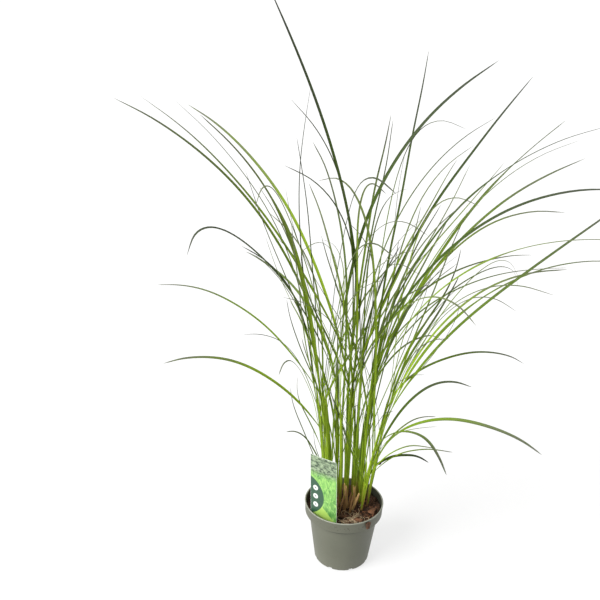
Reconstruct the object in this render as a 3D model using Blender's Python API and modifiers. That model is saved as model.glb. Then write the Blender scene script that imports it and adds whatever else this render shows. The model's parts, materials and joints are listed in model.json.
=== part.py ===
"""Potted ornamental grass clump: a nursery pot, its potting mix, a stick-in label and the grass.

Frame: metres, +Z up, origin at the centre of the pot's underside, -Y is the label's side.
Run with: blender --background --python part.py
"""
import math

import bmesh
import bpy
from mathutils import Vector

MM = 0.001
CM = 0.01
GAP = 0.3 * MM

# Pot
RIM_RADIUS = 60.0 * MM
POT_HEIGHT = 102.0 * MM
BAND_HEIGHT = 18.0 * MM
BODY_TOP_RADIUS = 54.0 * MM
BODY_BASE_RADIUS = 42.0 * MM
FOOT_RADIUS = 38.0 * MM
WALL = 1.4 * MM
LIP = 1.2 * MM
TURN_STEPS = 48
MERGE = 0.00001
NOTCH_COUNT = 8
NOTCH_WIDTH = 7.0 * MM
NOTCH_HEIGHT = 4.0 * MM
NOTCH_INNER_RADIUS = 34.0 * MM

# Potting mix
MIX_TOP = 91.0 * MM

# Label: a card with a narrow spike below it
CARD_WIDTH = 42.0 * MM
CARD_TOP = 195.0 * MM
CARD_THICKNESS = 0.8 * MM
CARD_CORNER = 2.5 * MM
CARD_CENTRE = Vector((-2.70 * CM, -4.00 * CM, 0.0))
CARD_YAW = math.radians(-27.0)
SPIKE_WIDTH = 10.0 * MM
SPIKE_TIP = 72.0 * MM

# Grass
SHOOT_SIDES = 1
SHOOT_POINTS = 5
SHOOT_TOP_RATIO = 0.62
LEAF_POINTS = 11
LEAF_THINNESS = 0.22
LEAF_START_WIDTH = 0.55
LEAF_TIP_WIDTH = 0.14
LEAF_WIDEST_AT = 0.35
START_PULL = 0.42
END_PULL = 0.36

# Each shoot: foot x, y; head x, y, height (cm); radius at the foot (mm)
SHOOTS = [
    (-2.8, 1.2, -5.0, 1.0, 30, 3.2),
    (-2.1, -0.1, -3.6, -1.0, 27, 2.9),
    (-1.9, 2.5, -4.6, 3.6, 31, 2.6),
    (-1.2, 1.5, -2.0, 2.5, 33, 2.4),
    (-0.6, 0.5, -1.3, -0.8, 28, 2.4),
    (0.2, 1.4, 0.4, 2.0, 34, 3.0),
    (0.3, 3.1, -0.4, 5.4, 30, 2.8),
    (1.3, 1.7, 1.6, 3.2, 35, 3.2),
    (2.5, 0.8, 3.0, 0.2, 32, 2.6),
    (1.9, 2.9, 3.8, 5.0, 33, 2.6),
    (3.6, 0.5, 6.0, 0.1, 28, 1.8),
    (2.7, -0.7, 4.8, -2.4, 26, 1.8),
    (3.2, 2.0, 6.4, 3.0, 30, 2.0),
]

# Each leaf: shoot number, height where it leaves the shoot (cm), heading (degrees from +X),
# reach and tip height (cm), lean from the vertical at its start, climb at its tip (degrees),
# half width (mm)
LEAVES = [
    (8, 33, 182, 14, 84, 3, 64, 2.0),
    (3, 28, 170, 3, 72, 12, 98, 1.8),
    (6, 31, 200, 10, 71, 3, 45, 1.6),
    (4, 30, 186, 30, 70, 18, 25, 2.4),
    (6, 32, 156, 36, 67, 30, 27, 2.0),
    (7, 29, 148, 31, 65, 16, 18, 2.2),
    (2, 24, 190, 17, 69, 8, 40, 3.6),
    (1, 27, 202, 9, 60, 8, 56, 2.2),
    (4, 29, 215, 23, 53, 16, -80, 2.2),
    (5, 26, 205, 13, 58, 10, -80, 1.8),
    (4, 28, 135, 22, 43, 12, -3, 1.8),
    (1, 29, 170, 24, 42, 34, -12, 1.8),
    (2, 23, 225, 15, 43, 20, 10, 1.8),
    (2, 22, 198, 23, 36, 30, -16, 2.0),
    (4, 32, 2, 18, 76, 0, 36, 2.4),
    (9, 31, 70, 16, 75, 6, 66, 1.8),
    (7, 28, 80, 25, 63, 10, 42, 1.8),
    (6, 33, -15, 16, 70, 6, 36, 2.4),
    (8, 34, 32, 25, 72, 17, 48, 2.2),
    (9, 30, 15, 24, 68, 18, 38, 2.2),
    (8, 32, -8, 28, 69, 18, 18, 2.4),
    (10, 32, 5, 26, 63, 22, 24, 2.2),
    (6, 30, -30, 33, 65, 23, 8, 3.0),
    (12, 25, -15, 28, 63, 20, 48, 2.4),
    (9, 28, -38, 34, 61, 14, 8, 2.4),
    (7, 26, 20, 28, 46, 12, -8, 1.8),
    (11, 25, -5, 29, 52, 14, 0, 3.0),
    (8, 27, 30, 36, 42, 16, -10, 1.6),
    (12, 22, -45, 25, 54, 14, -2, 2.0),
    (13, 22, -30, 18, 46, 16, -25, 2.0),
    (13, 25, 10, 20, 32, 14, -35, 1.8),
    (10, 28, 20, 22, 42, 14, -80, 1.8),
    (6, 27, -55, 24, 49, 16, -28, 2.4),
    (12, 18, -10, 13, 33, 14, -20, 1.8),
    (11, 18, -30, 24, 28, 18, -22, 3.0),
    (12, 20, -58, 17, 27, 20, -55, 2.2),
    (13, 14, 15, 9, 15, 20, -40, 1.6),
]

# Each dry stub: foot x, y; head x, y, height (cm); radius (mm)
STUBS = [
    (0.5, -0.4, 0.1, -0.1, 12.8, 2.2),
    (1.3, -0.9, 2.2, -1.2, 12.4, 1.9),
    (1.6, 0.4, 1.4, 0.7, 12.0, 2.0),
]

# Each bark chip: x, y, height of its middle (cm); length, width, thickness (mm); turn, tilt (degrees)
BARK_CHIPS = [
    (4.4, -1.3, 9.48, 15.0, 9.0, 3.6, 70, 12),
    (2.3, -3.7, 9.42, 12.0, 7.0, 3.2, -25, -10),
    (0.2, -3.0, 9.40, 10.0, 6.0, 3.0, 20, 10),
    (3.74, -4.89, 9.45, 11.0, 6.0, 2.4, 0, 0),
]
RIM_CRUMB = 4
CHIP_BEVEL = 0.6 * MM
CHIP_TAPER = 0.55

POT_COLOUR = (0.21, 0.23, 0.17)
MIX_COLOUR = (0.035, 0.022, 0.015)
CARD_COLOUR = (0.20, 0.42, 0.06)
BARK_COLOUR = (0.17, 0.062, 0.030)
STUB_COLOUR = (0.52, 0.42, 0.20)
SHOOT_COLOUR = (0.24, 0.42, 0.08)
LEAF_COLOUR = (0.11, 0.24, 0.05)


def clear_scene():
    """Remove every object, so that the file can be run again."""
    for thing in list(bpy.data.objects):
        bpy.data.objects.remove(thing, do_unlink=True)


def make_collection(name):
    """Add a collection to the scene."""
    group = bpy.data.collections.new(name)
    bpy.context.scene.collection.children.link(group)
    return group


def make_material(name, colour, roughness):
    """One Principled BSDF material with named nodes."""
    material = bpy.data.materials.new(name)
    material.use_nodes = True
    shader = material.node_tree.nodes["Principled BSDF"]
    shader.name = name + "_surface"
    shader.inputs["Base Color"].default_value = (*colour, 1.0)
    shader.inputs["Roughness"].default_value = roughness
    shader.inputs["Metallic"].default_value = 0.0
    return material


def add_object(name, data, collection, root, material):
    """Put a mesh or curve in the collection, under the root empty, with its material."""
    thing = bpy.data.objects.new(name, data)
    collection.objects.link(thing)
    thing.parent = root
    data.materials.append(material)
    return thing


def turned_object(name, profile, collection, root, material):
    """A solid of revolution from a profile of (radius, height) that starts and ends on the axis."""
    mesh = bpy.data.meshes.new(name)
    points = [(radius, 0.0, height) for radius, height in profile]
    edges = [(index, index + 1) for index in range(len(points) - 1)]
    mesh.from_pydata(points, edges, [])
    thing = add_object(name, mesh, collection, root, material)
    screw = thing.modifiers.new("turn", "SCREW")
    screw.axis = "Z"
    screw.steps = TURN_STEPS
    screw.render_steps = TURN_STEPS
    screw.use_merge_vertices = True
    screw.merge_threshold = MERGE
    screw.use_smooth_shade = True
    return thing


def band_radius(height):
    """Outer radius of the rim band, which tapers a little towards its lower edge."""
    drop = (POT_HEIGHT - height) / BAND_HEIGHT
    return RIM_RADIUS - 0.4 * MM - 0.9 * MM * drop


def pot_profile():
    """From the inner floor's centre, up the inside, over the lip and down the outside."""
    step_height = POT_HEIGHT - BAND_HEIGHT
    floor = WALL + 0.2 * MM
    heel = BODY_BASE_RADIUS - FOOT_RADIUS
    inside = [
        (0.0, floor),
        (FOOT_RADIUS - WALL, floor),
        (BODY_BASE_RADIUS - WALL * 1.2, floor + 3.0 * MM),
        (BODY_TOP_RADIUS - WALL, step_height - 1.8 * MM),
        (band_radius(step_height) - WALL, step_height + 0.9 * MM),
        (band_radius(POT_HEIGHT) - WALL, POT_HEIGHT - LIP),
    ]
    lip = [
        (RIM_RADIUS - LIP, POT_HEIGHT),
        (RIM_RADIUS - 0.25 * LIP, POT_HEIGHT),
        (RIM_RADIUS, POT_HEIGHT - 0.6 * LIP),
        (RIM_RADIUS, POT_HEIGHT - 1.5 * LIP),
        (band_radius(POT_HEIGHT - 2.0 * LIP), POT_HEIGHT - 2.0 * LIP),
    ]
    outside = [
        (band_radius(step_height) + 0.1 * MM, step_height + 0.6 * MM),
        (band_radius(step_height) - 0.5 * MM, step_height),
        (BODY_TOP_RADIUS + 0.6 * MM, step_height - 0.4 * MM),
        (BODY_TOP_RADIUS, step_height - 1.2 * MM),
        (BODY_BASE_RADIUS, heel),
    ]
    quarter = [math.radians(angle) for angle in (30, 60, 90)]
    rounded_heel = [
        (FOOT_RADIUS + heel * math.cos(turn), heel * (1.0 - math.sin(turn))) for turn in quarter
    ]
    return inside + lip + outside + rounded_heel + [(0.0, 0.0)]


def make_pot(collection, cutters, root):
    """The pot, with drainage notches cut through its heel."""
    material = make_material("pot_plastic", POT_COLOUR, 0.62)
    pot = turned_object("pot", pot_profile(), collection, root, material)
    notches = bmesh.new()
    length = RIM_RADIUS - NOTCH_INNER_RADIUS
    for index in range(NOTCH_COUNT):
        turn = math.radians(360.0 / NOTCH_COUNT * (index + 0.5))
        middle = NOTCH_INNER_RADIUS + length / 2
        box = bmesh.ops.create_cube(notches, size=1.0)["verts"]
        bmesh.ops.scale(notches, verts=box, vec=(length, NOTCH_WIDTH, 2 * NOTCH_HEIGHT))
        bmesh.ops.translate(notches, verts=box, vec=(middle, 0.0, 0.0))
        for corner in box:
            x, y = corner.co.x, corner.co.y
            corner.co.x = x * math.cos(turn) - y * math.sin(turn)
            corner.co.y = x * math.sin(turn) + y * math.cos(turn)
    mesh = bpy.data.meshes.new("drainage_cutter")
    notches.to_mesh(mesh)
    notches.free()
    cutter = add_object("drainage_cutter", mesh, cutters, root, material)
    cutter.hide_render = True
    cutter.display_type = "WIRE"
    cut = pot.modifiers.new("drainage", "BOOLEAN")
    cut.operation = "DIFFERENCE"
    cut.solver = "EXACT"
    cut.object = cutter
    return pot


def make_mix(collection, cutters, root):
    """The potting mix, clear of the pot all round, with a slot for the label's spike."""
    step_height = POT_HEIGHT - BAND_HEIGHT
    side = WALL + GAP + 0.2 * MM
    profile = [
        (0.0, MIX_TOP),
        (band_radius(MIX_TOP) - side - 0.3 * MM, MIX_TOP),
        (band_radius(step_height) - side, step_height + 1.4 * MM),
        (BODY_TOP_RADIUS - side - 0.2 * MM, step_height - 1.4 * MM),
        (BODY_BASE_RADIUS - side - 0.6 * MM, 5.2 * MM),
        (FOOT_RADIUS - side, WALL + GAP + 0.4 * MM),
        (0.0, WALL + GAP + 0.4 * MM),
    ]
    material = make_material("potting_mix", MIX_COLOUR, 0.95)
    mix = turned_object("potting_mix", profile, collection, root, material)
    slot = bmesh.new()
    box = bmesh.ops.create_cube(slot, size=1.0)["verts"]
    height = 2 * (MIX_TOP - SPIKE_TIP) + 2 * GAP
    width = SPIKE_WIDTH + 2 * GAP
    bmesh.ops.scale(slot, verts=box, vec=(width, CARD_THICKNESS + 2 * GAP, height))
    mesh = bpy.data.meshes.new("slot_cutter")
    slot.to_mesh(mesh)
    slot.free()
    cutter = add_object("slot_cutter", mesh, cutters, root, material)
    cutter.location = CARD_CENTRE + Vector((0.0, 0.0, MIX_TOP))
    cutter.rotation_euler = (0.0, 0.0, CARD_YAW)
    cutter.hide_render = True
    cutter.display_type = "WIRE"
    cut = mix.modifiers.new("label_slot", "BOOLEAN")
    cut.operation = "DIFFERENCE"
    cut.solver = "EXACT"
    cut.object = cutter
    return mix


def card_outline():
    """Outline of the label: rounded upper corners, square shoulders and a pointed spike."""
    half = CARD_WIDTH / 2
    spike = SPIKE_WIDTH / 2
    shoulder = MIX_TOP + 2 * GAP
    outline = [(-half, shoulder + 1.0 * MM), (-spike, shoulder), (-spike, SPIKE_TIP + spike)]
    outline += [(0.0, SPIKE_TIP), (spike, SPIKE_TIP + spike), (spike, shoulder)]
    outline += [(half, shoulder + 1.0 * MM)]
    for side, angles in ((1, (0, 45, 90)), (-1, (90, 45, 0))):
        for angle in angles:
            turn = math.radians(angle)
            x = side * (half - CARD_CORNER + CARD_CORNER * math.cos(turn))
            outline.append((x, CARD_TOP - CARD_CORNER + CARD_CORNER * math.sin(turn)))
    return outline


def make_label(collection, root):
    """The stick-in label, upright inside the rim."""
    curve = bpy.data.curves.new("plant_label", "CURVE")
    curve.dimensions = "2D"
    curve.fill_mode = "BOTH"
    curve.extrude = CARD_THICKNESS / 2
    outline = card_outline()
    spline = curve.splines.new("POLY")
    spline.points.add(len(outline) - 1)
    for point, (x, y) in zip(spline.points, outline):
        point.co = (x, y, 0.0, 1.0)
    spline.use_cyclic_u = True
    material = make_material("label_card", CARD_COLOUR, 0.35)
    label = add_object("plant_label", curve, collection, root, material)
    label.location = CARD_CENTRE
    label.rotation_euler = (math.pi / 2, 0.0, CARD_YAW)
    return label


def poly_curve(name, points, radii):
    """A curve through the points, with a radius at each."""
    curve = bpy.data.curves.new(name, "CURVE")
    curve.dimensions = "3D"
    curve.use_fill_caps = True
    spline = curve.splines.new("POLY")
    spline.points.add(len(points) - 1)
    for point, place, radius in zip(spline.points, points, radii):
        point.co = (*place, 1.0)
        point.radius = radius
    return curve


def shoot_axis(shoot, height):
    """Where a shoot's axis is at a height; it bows outwards a little."""
    foot_x, foot_y, head_x, head_y, head_height, _ = shoot
    run = (height - MIX_TOP) / (head_height * CM - MIX_TOP)
    bow = run ** 1.3
    x = (foot_x + (head_x - foot_x) * bow) * CM
    y = (foot_y + (head_y - foot_y) * bow) * CM
    return Vector((x, y, height))


def shoot_radius(shoot, height):
    """Radius of a shoot at a height."""
    run = (height - MIX_TOP) / (shoot[4] * CM - MIX_TOP)
    return shoot[5] * MM * (1.0 + (SHOOT_TOP_RATIO - 1.0) * run)


def make_shoots(collection, root):
    """The upright bundles of leaf sheaths, standing just clear of the mix."""
    for number, shoot in enumerate(SHOOTS, start=1):
        name = f"shoot_{number:02d}"
        start = MIX_TOP + 3 * GAP
        heights = [start + (shoot[4] * CM - start) * k / SHOOT_POINTS for k in range(SHOOT_POINTS + 1)]
        foot = shoot_axis(shoot, start)
        points = [shoot_axis(shoot, height) - foot for height in heights]
        radii = [shoot_radius(shoot, height) for height in heights]
        curve = poly_curve(name, points, radii)
        curve.bevel_depth = 1.0
        curve.bevel_resolution = SHOOT_SIDES
        material = make_material(name + "_green", SHOOT_COLOUR, 0.5)
        thing = add_object(name, curve, collection, root, material)
        thing.location = foot


def leaf_spine(reach, rise, lean, climb):
    """Points along an arching leaf in its own upright plane, as a cubic curve."""
    end = Vector((reach, 0.0, rise))
    span = end.length
    first = Vector((math.sin(lean), 0.0, math.cos(lean)))
    last = Vector((math.cos(climb), 0.0, math.sin(climb)))
    pull = first * span * START_PULL
    hold = end - last * span * END_PULL
    points = []
    for index in range(LEAF_POINTS):
        t = index / (LEAF_POINTS - 1)
        points.append(3 * t * (1 - t) ** 2 * pull + 3 * t * t * (1 - t) * hold + t ** 3 * end)
    return points


def leaf_width(t):
    """Share of a leaf's full width at t along it: narrow, widest by a third, then tapering."""
    if t < LEAF_WIDEST_AT:
        grow = math.sin(t / LEAF_WIDEST_AT * math.pi / 2)
        return LEAF_START_WIDTH + (1.0 - LEAF_START_WIDTH) * grow
    fall = (t - LEAF_WIDEST_AT) / (1.0 - LEAF_WIDEST_AT)
    return 1.0 + (LEAF_TIP_WIDTH - 1.0) * fall ** 1.6


def make_blade_section(cutters, root):
    """The leaf's cross-section, one unit half wide: a flat lozenge, keeled below."""
    curve = bpy.data.curves.new("blade_section", "CURVE")
    curve.dimensions = "2D"
    spline = curve.splines.new("POLY")
    outline = [(1.0, 0.0), (0.0, -LEAF_THINNESS), (-1.0, 0.0), (0.0, LEAF_THINNESS * 0.6)]
    spline.points.add(len(outline) - 1)
    for point, (x, y) in zip(spline.points, outline):
        point.co = (x, y, 0.0, 1.0)
    spline.use_cyclic_u = True
    section = bpy.data.objects.new("blade_section", curve)
    cutters.objects.link(section)
    section.parent = root
    section.hide_render = True
    section.display_type = "WIRE"
    return section


def make_leaves(collection, root, section):
    """The arching leaves, each starting just clear of its shoot."""
    for number, leaf in enumerate(LEAVES, start=1):
        shoot_number, height, heading, reach, tip_height, lean, climb, half_width = leaf
        name = f"leaf_{number:02d}"
        shoot = SHOOTS[shoot_number - 1]
        turn = math.radians(heading)
        out = Vector((math.cos(turn), math.sin(turn), 0.0))
        away = shoot_radius(shoot, height * CM) + half_width * MM * LEAF_THINNESS + 2 * GAP
        start = shoot_axis(shoot, height * CM) + out * away
        rise = (tip_height - height) * CM
        points = leaf_spine(reach * CM, rise, math.radians(lean), math.radians(climb))
        shares = [leaf_width(index / (LEAF_POINTS - 1)) for index in range(LEAF_POINTS)]
        curve = poly_curve(name, points, [half_width * MM * share for share in shares])
        curve.twist_mode = "Z_UP"
        curve.bevel_mode = "OBJECT"
        curve.bevel_object = section
        material = make_material(name + "_green", LEAF_COLOUR, 0.45)
        thing = add_object(name, curve, collection, root, material)
        thing.location = start
        thing.rotation_euler = (0.0, 0.0, turn)


def make_stubs(collection, root):
    """The dry cut stubs of last year's stems."""
    for number, stub in enumerate(STUBS, start=1):
        foot_x, foot_y, head_x, head_y, head_height, radius = stub
        name = f"dry_stub_{number}"
        foot = Vector((foot_x * CM, foot_y * CM, MIX_TOP + 4 * GAP))
        head = Vector((head_x * CM, head_y * CM, head_height * CM))
        middle = (head - foot) * 0.5
        curve = poly_curve(name, [Vector(), middle, head - foot], [radius * MM] * 3)
        curve.bevel_depth = 1.0
        curve.bevel_resolution = SHOOT_SIDES
        material = make_material(name + "_straw", STUB_COLOUR, 0.8)
        thing = add_object(name, curve, collection, root, material)
        thing.location = foot


def make_bark(collection, root):
    """Bark chips lying on the mix, and one crumb on the outside of the rim band."""
    for number, chip in enumerate(BARK_CHIPS, start=1):
        x, y, height, length, width, thickness, turn, tilt = chip
        name = "rim_crumb" if number == RIM_CRUMB else f"bark_chip_{number}"
        body = bmesh.new()
        corners = bmesh.ops.create_cube(body, size=1.0)["verts"]
        bmesh.ops.scale(body, verts=corners, vec=(length * MM, width * MM, thickness * MM))
        for corner in corners:
            if corner.co.x > 0:
                corner.co.y *= CHIP_TAPER
        mesh = bpy.data.meshes.new(name)
        body.to_mesh(mesh)
        body.free()
        material = make_material(name + "_bark", BARK_COLOUR, 0.9)
        thing = add_object(name, mesh, collection, root, material)
        thing.location = (x * CM, y * CM, height * CM)
        thing.rotation_euler = (0.0, math.radians(tilt), math.radians(turn))
        if number == RIM_CRUMB:
            outward = math.atan2(y, x)
            thing.rotation_euler = (0.0, math.pi / 2, outward)
        bevel = thing.modifiers.new("worn_edges", "BEVEL")
        bevel.width = CHIP_BEVEL
        bevel.segments = 1


def main():
    """Build the whole clump."""
    clear_scene()
    clump = make_collection("potted_grass_clump")
    cutters = make_collection("cutters_and_guides")
    root = bpy.data.objects.new("clump_root", None)
    clump.objects.link(root)
    make_pot(clump, cutters, root)
    make_mix(clump, cutters, root)
    make_label(clump, root)
    make_shoots(clump, root)
    make_leaves(clump, root, make_blade_section(cutters, root))
    make_stubs(clump, root)
    make_bark(clump, root)


main()
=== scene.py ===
"""Potted ornamental grass clump: its looks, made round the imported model.

Metres, +Z up, origin at the centre of the pot's underside. Heights, reaches and places in the
tables below are in centimetres and widths in millimetres, as their headings say.
"""
import json
import math
import random

import bmesh
import bpy
from bpy.props import FloatProperty, FloatVectorProperty, IntProperty, PointerProperty
from mathutils import Matrix, Quaternion, Vector, noise

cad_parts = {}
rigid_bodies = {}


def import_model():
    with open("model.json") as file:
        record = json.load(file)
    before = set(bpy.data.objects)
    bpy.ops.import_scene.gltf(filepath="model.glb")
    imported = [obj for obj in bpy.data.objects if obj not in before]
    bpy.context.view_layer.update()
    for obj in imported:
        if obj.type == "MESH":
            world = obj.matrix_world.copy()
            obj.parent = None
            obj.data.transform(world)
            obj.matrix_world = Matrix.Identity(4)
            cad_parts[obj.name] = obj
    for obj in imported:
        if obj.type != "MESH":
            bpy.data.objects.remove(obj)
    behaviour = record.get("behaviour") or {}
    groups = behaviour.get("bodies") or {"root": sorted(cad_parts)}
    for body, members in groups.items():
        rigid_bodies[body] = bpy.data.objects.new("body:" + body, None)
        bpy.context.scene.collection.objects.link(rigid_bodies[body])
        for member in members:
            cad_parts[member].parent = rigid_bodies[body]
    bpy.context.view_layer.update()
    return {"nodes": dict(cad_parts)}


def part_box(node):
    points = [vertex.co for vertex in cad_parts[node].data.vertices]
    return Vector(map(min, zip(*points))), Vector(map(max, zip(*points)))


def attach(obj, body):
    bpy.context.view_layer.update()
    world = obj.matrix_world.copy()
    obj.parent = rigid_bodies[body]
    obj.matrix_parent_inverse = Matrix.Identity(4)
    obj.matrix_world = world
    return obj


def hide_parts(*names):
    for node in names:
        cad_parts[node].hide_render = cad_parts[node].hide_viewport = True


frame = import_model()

bl_info = {
    "name": "Potted grass clump",
    "version": (1, 0, 0),
    "blender": (4, 5, 0),
    "location": "3D View > Sidebar > Grass",
    "description": "Makes a clump of ornamental grass in a nursery pot, piece by piece",
    "category": "Add Mesh",
}

MM = 0.001
CM = 0.01
BODY = "root"
UP = Vector((0.0, 0.0, 1.0))
TINY = 0.000001
FULL_TURN = 2 * math.pi

POT_LOW, POT_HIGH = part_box("pot")
RIM_RADIUS = (POT_HIGH.x - POT_LOW.x) / 2
POT_HEIGHT = POT_HIGH.z
MIX_LOW, MIX_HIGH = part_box("potting_mix")
SHOOT_NODES = sorted(name for name in frame["nodes"] if name.startswith("shoot_"))
LEAF_NODES = sorted(name for name in frame["nodes"] if name.startswith("leaf_"))
STUB_NODES = sorted(name for name in frame["nodes"] if name.startswith("dry_stub_"))
BARK_NODES = sorted(name for name in frame["nodes"] if name.startswith("bark_chip_"))

# Rings of a packed leaf or shoot: points closer than this belong to one ring
RING_LINK = 5.5 * MM

# Leaves that stand out. Each: how dark (0) to pale (1); width against the others; share of
# the length at which the broad part ends. The rest are drawn at random.
# How dark or pale a leaf is stands partly for its own tone, partly for painted shade on the dark ones and
# painted light on the pale ones.
LEAF_TRAITS = {
    "leaf_01": (0.0, 1.1, 1.0),
    "leaf_02": (0.10, 0.9, 1.0),
    "leaf_03": (0.20, 1.0, 1.0),
    "leaf_04": (0.45, 0.85, 1.0),
    "leaf_07": (0.8, 1.05, 0.62),
    "leaf_09": (0.12, 1.3, 1.0),
    "leaf_12": (0.65, 0.75, 1.0),
    "leaf_13": (0.15, 0.9, 1.0),
    "leaf_14": (0.85, 1.0, 1.0),
    "leaf_15": (0.0, 1.05, 1.0),
    "leaf_16": (0.12, 0.85, 1.0),
    "leaf_19": (0.08, 0.85, 1.0),
    "leaf_20": (0.35, 0.85, 0.75),
    "leaf_21": (0.10, 1.0, 0.7),
    "leaf_23": (0.0, 1.1, 1.0),
    "leaf_24": (0.22, 0.85, 1.0),
    "leaf_25": (0.75, 0.7, 0.65),
    "leaf_27": (0.45, 0.7, 0.5),
    "leaf_28": (0.50, 0.65, 1.0),
    "leaf_29": (0.40, 0.8, 1.0),
    "leaf_30": (0.60, 0.7, 1.0),
    "leaf_32": (0.30, 0.65, 1.0),
    "leaf_33": (0.95, 0.8, 1.0),
    "leaf_34": (0.15, 1.1, 1.0),
    "leaf_35": (0.45, 1.1, 1.0),
    "leaf_36": (0.30, 1.2, 1.0),
    "leaf_37": (0.10, 1.2, 1.0),
}

# Finer leaves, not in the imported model. Each: shoot number, height where it leaves the shoot
# (cm), heading (degrees from +X), reach and tip height (cm), lean from the vertical at its
# start, climb at its tip (degrees), half width (mm)
FINE_LEAVES = [
    (1, 20, 235, 10, 35, 14, -60, 1.4),
    (1, 11, 205, 6, 30, 12, 80, 1.2),
    (2, 15, 210, 7, 24, 35, 5, 1.4),
    (1, 12, 190, 2, 22, 5, 85, 1.2),
    (1, 18, 195, 4, 31, 15, 96, 1.3),
    (9, 32, -40, 3, 65, 4, 84, 1.4),
    (8, 22, 60, 28, 25, 20, -40, 1.3),
    (12, 16, -40, 11, 29, 12, 20, 1.2),
    (12, 15, -25, 10, 24, 20, 5, 1.1),
    (13, 15, 5, 9, 24, 22, -10, 1.1),
    (13, 13, -10, 12, 20, 26, -5, 1.2),
    (1, 22, 205, 12, 52, 10, 30, 1.3),
    (6, 30, 70, 11, 66, 2, 60, 1.3),
    (8, 32, 0, 11.5, 67, 10, -30, 1.4),
    (9, 32, 0, 24, 67, 20, 22, 1.5),
    (10, 30, 0, 24, 56, 16, -6, 1.4),
    (12, 25, -10, 22, 52, 16, 8, 1.6),
    (11, 26, 0, 16, 48, 14, -70, 1.3),
    (12, 22, -15, 9, 40.5, 18, 12, 1.3),
    (12, 18, -25, 7, 35, 12, 15, 1.3),
    (6, 30, 20, 3, 58, 4, -50, 1.4),
    (6, 30, 185, 1.5, 54, -4, 40, 1.4),
    (3, 26, -10, 5, 50, 10, 100, 1.2),
    (8, 32, 20, 12, 62, 8, 60, 1.5),
    (10, 32, 20, 17, 61, 10, 50, 1.5),
    (2, 26, 188, 20, 70.5, 9, 40, 1.5),
    (3, 28, 180, 4.5, 65, 6, 80, 1.3),
]

# Finer leaves drawn at random: how many between the others, how many low ones, and their seed
FILLER_COUNT = 58
LOW_COUNT = 13
FILLER_SEED = 23
# The shoots they grow from, the fuller ones more often, and the climbs at their tips (degrees)
FILLER_SHOOTS = (1, 2, 3, 4, 5, 6, 6, 7, 7, 8, 8, 8, 9, 9, 9, 10, 10, 11, 12, 13)
FILLER_CLIMBS = (84, 70, 56, 44, 20, -30)
LOW_HEADINGS = (-20, -50, 200, 230)
LOW_CLIMBS = (70, 50, 30, -10)
# Below one, this power leaves fewer dark blades and more pale ones among the finer leaves.
FINE_TINT_POWER = 0.65

# Shoots whose head stands farther right than this are thinner, by this share
SLENDER_FROM = 4.0 * CM
SLENDER = 0.78

# A leaf's arc: how far its first and last directions pull, as a share of its chord
START_PULL = 0.42
END_PULL = 0.36
SPINE_POINTS = 11

# A leaf's width: its share at the start and tip, where it is widest, and the least half width
START_SHARE = 0.70
TIP_SHARE = 0.42
WIDEST_AT = 0.35
LEAST_HALF = 0.55 * MM

# The drainage notches run between these radii and narrow upwards to this share
NOTCH_INNER = 34.0 * MM
NOTCH_OUTER = 50.0 * MM
NOTCH_TOP = 0.7

# The camera: its place, and its pan, downward pitch and roll in degrees
CAMERA_PLACE = (0.0, -1.14, 0.931)
CAMERA_PAN = 3.81
CAMERA_PITCH = 23.65
CAMERA_ROLL = 1.6
SENSOR_WIDTH = 36.0


# ---------------------------------------------------------------- settings


def colour(name, description, default):
    """A colour setting, in linear light."""
    return FloatVectorProperty(
        name=name, description=description, subtype="COLOR", size=3, min=0.0, max=1.0, default=default
    )


def length(name, description, default):
    """A length setting, in metres."""
    return FloatProperty(
        name=name, description=description, subtype="DISTANCE", unit="LENGTH", min=0.0,
        precision=4, default=default,
    )


def share(name, description, default):
    """A setting that is a share of something else."""
    return FloatProperty(
        name=name, description=description, subtype="FACTOR", min=0.0, max=1.0, default=default
    )


def count(name, description, default):
    """A setting that is a whole number."""
    return IntProperty(name=name, description=description, subtype="UNSIGNED", min=1, default=default)


def light_strength(name, description, default):
    """The strength of a light."""
    return FloatProperty(
        name=name, description=description, subtype="UNSIGNED", min=0.0, default=default
    )


class PotSettings(bpy.types.PropertyGroup):
    """Sizes and colours of the nursery pot."""

    band_height: length("Band height", "Height of the rim band", 18.0 * MM)
    body_top: length("Body top radius", "Radius of the body just under the band", 52.9 * MM)
    body_base: length("Body base radius", "Radius of the body just above its heel", 42.0 * MM)
    foot: length("Foot radius", "Radius of the flat the pot stands on", 38.0 * MM)
    wall: length("Wall", "Thickness of the wall", 1.4 * MM)
    lip: length("Lip bead", "Radius of the rolled bead round the mouth", 1.1 * MM)
    notches: count("Drainage notches", "Number of notches round the heel", 8)
    notch_width: length("Notch width", "Width of each drainage notch", 9.0 * MM)
    notch_height: length("Notch height", "Height of each drainage notch", 4.0 * MM)
    shell: colour("Shell colour", "Moulded plastic", (0.102, 0.106, 0.075))
    # The edge colour is partly rubbed plastic, partly a painted highlight along the lip.
    edge: colour("Edge colour", "Rubbed edge of the lip", (0.34, 0.35, 0.29))
    stain: colour("Stain colour", "Mix dust and specks", (0.060, 0.048, 0.034))


class MixSettings(bpy.types.PropertyGroup):
    """Sizes and colours of the potting mix and what lies on it."""

    relief: length("Relief", "Height of the lumps in the surface", 2.4 * MM)
    spacing: length("Crumb spacing", "Least distance between two crumbs", 1.7 * MM)
    smallest: length("Smallest crumb", "Half length of the smallest crumb", 0.7 * MM)
    largest: length("Largest crumb", "Half length of the largest crumb", 2.6 * MM)
    shard: length("Largest shard", "Half length of the largest flake of bark", 4.6 * MM)
    fibres: count("Fibres", "Number of pale root fibres", 46)
    dark: colour("Dark colour", "Wet mix in the hollows", (0.026, 0.013, 0.007))
    brown: colour("Brown colour", "Crumbs of bark", (0.230, 0.115, 0.062))
    red: colour("Red colour", "Fresh bark", (0.340, 0.140, 0.062))
    fibre: colour("Fibre colour", "Root fibres", (0.82, 0.70, 0.46))


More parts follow.
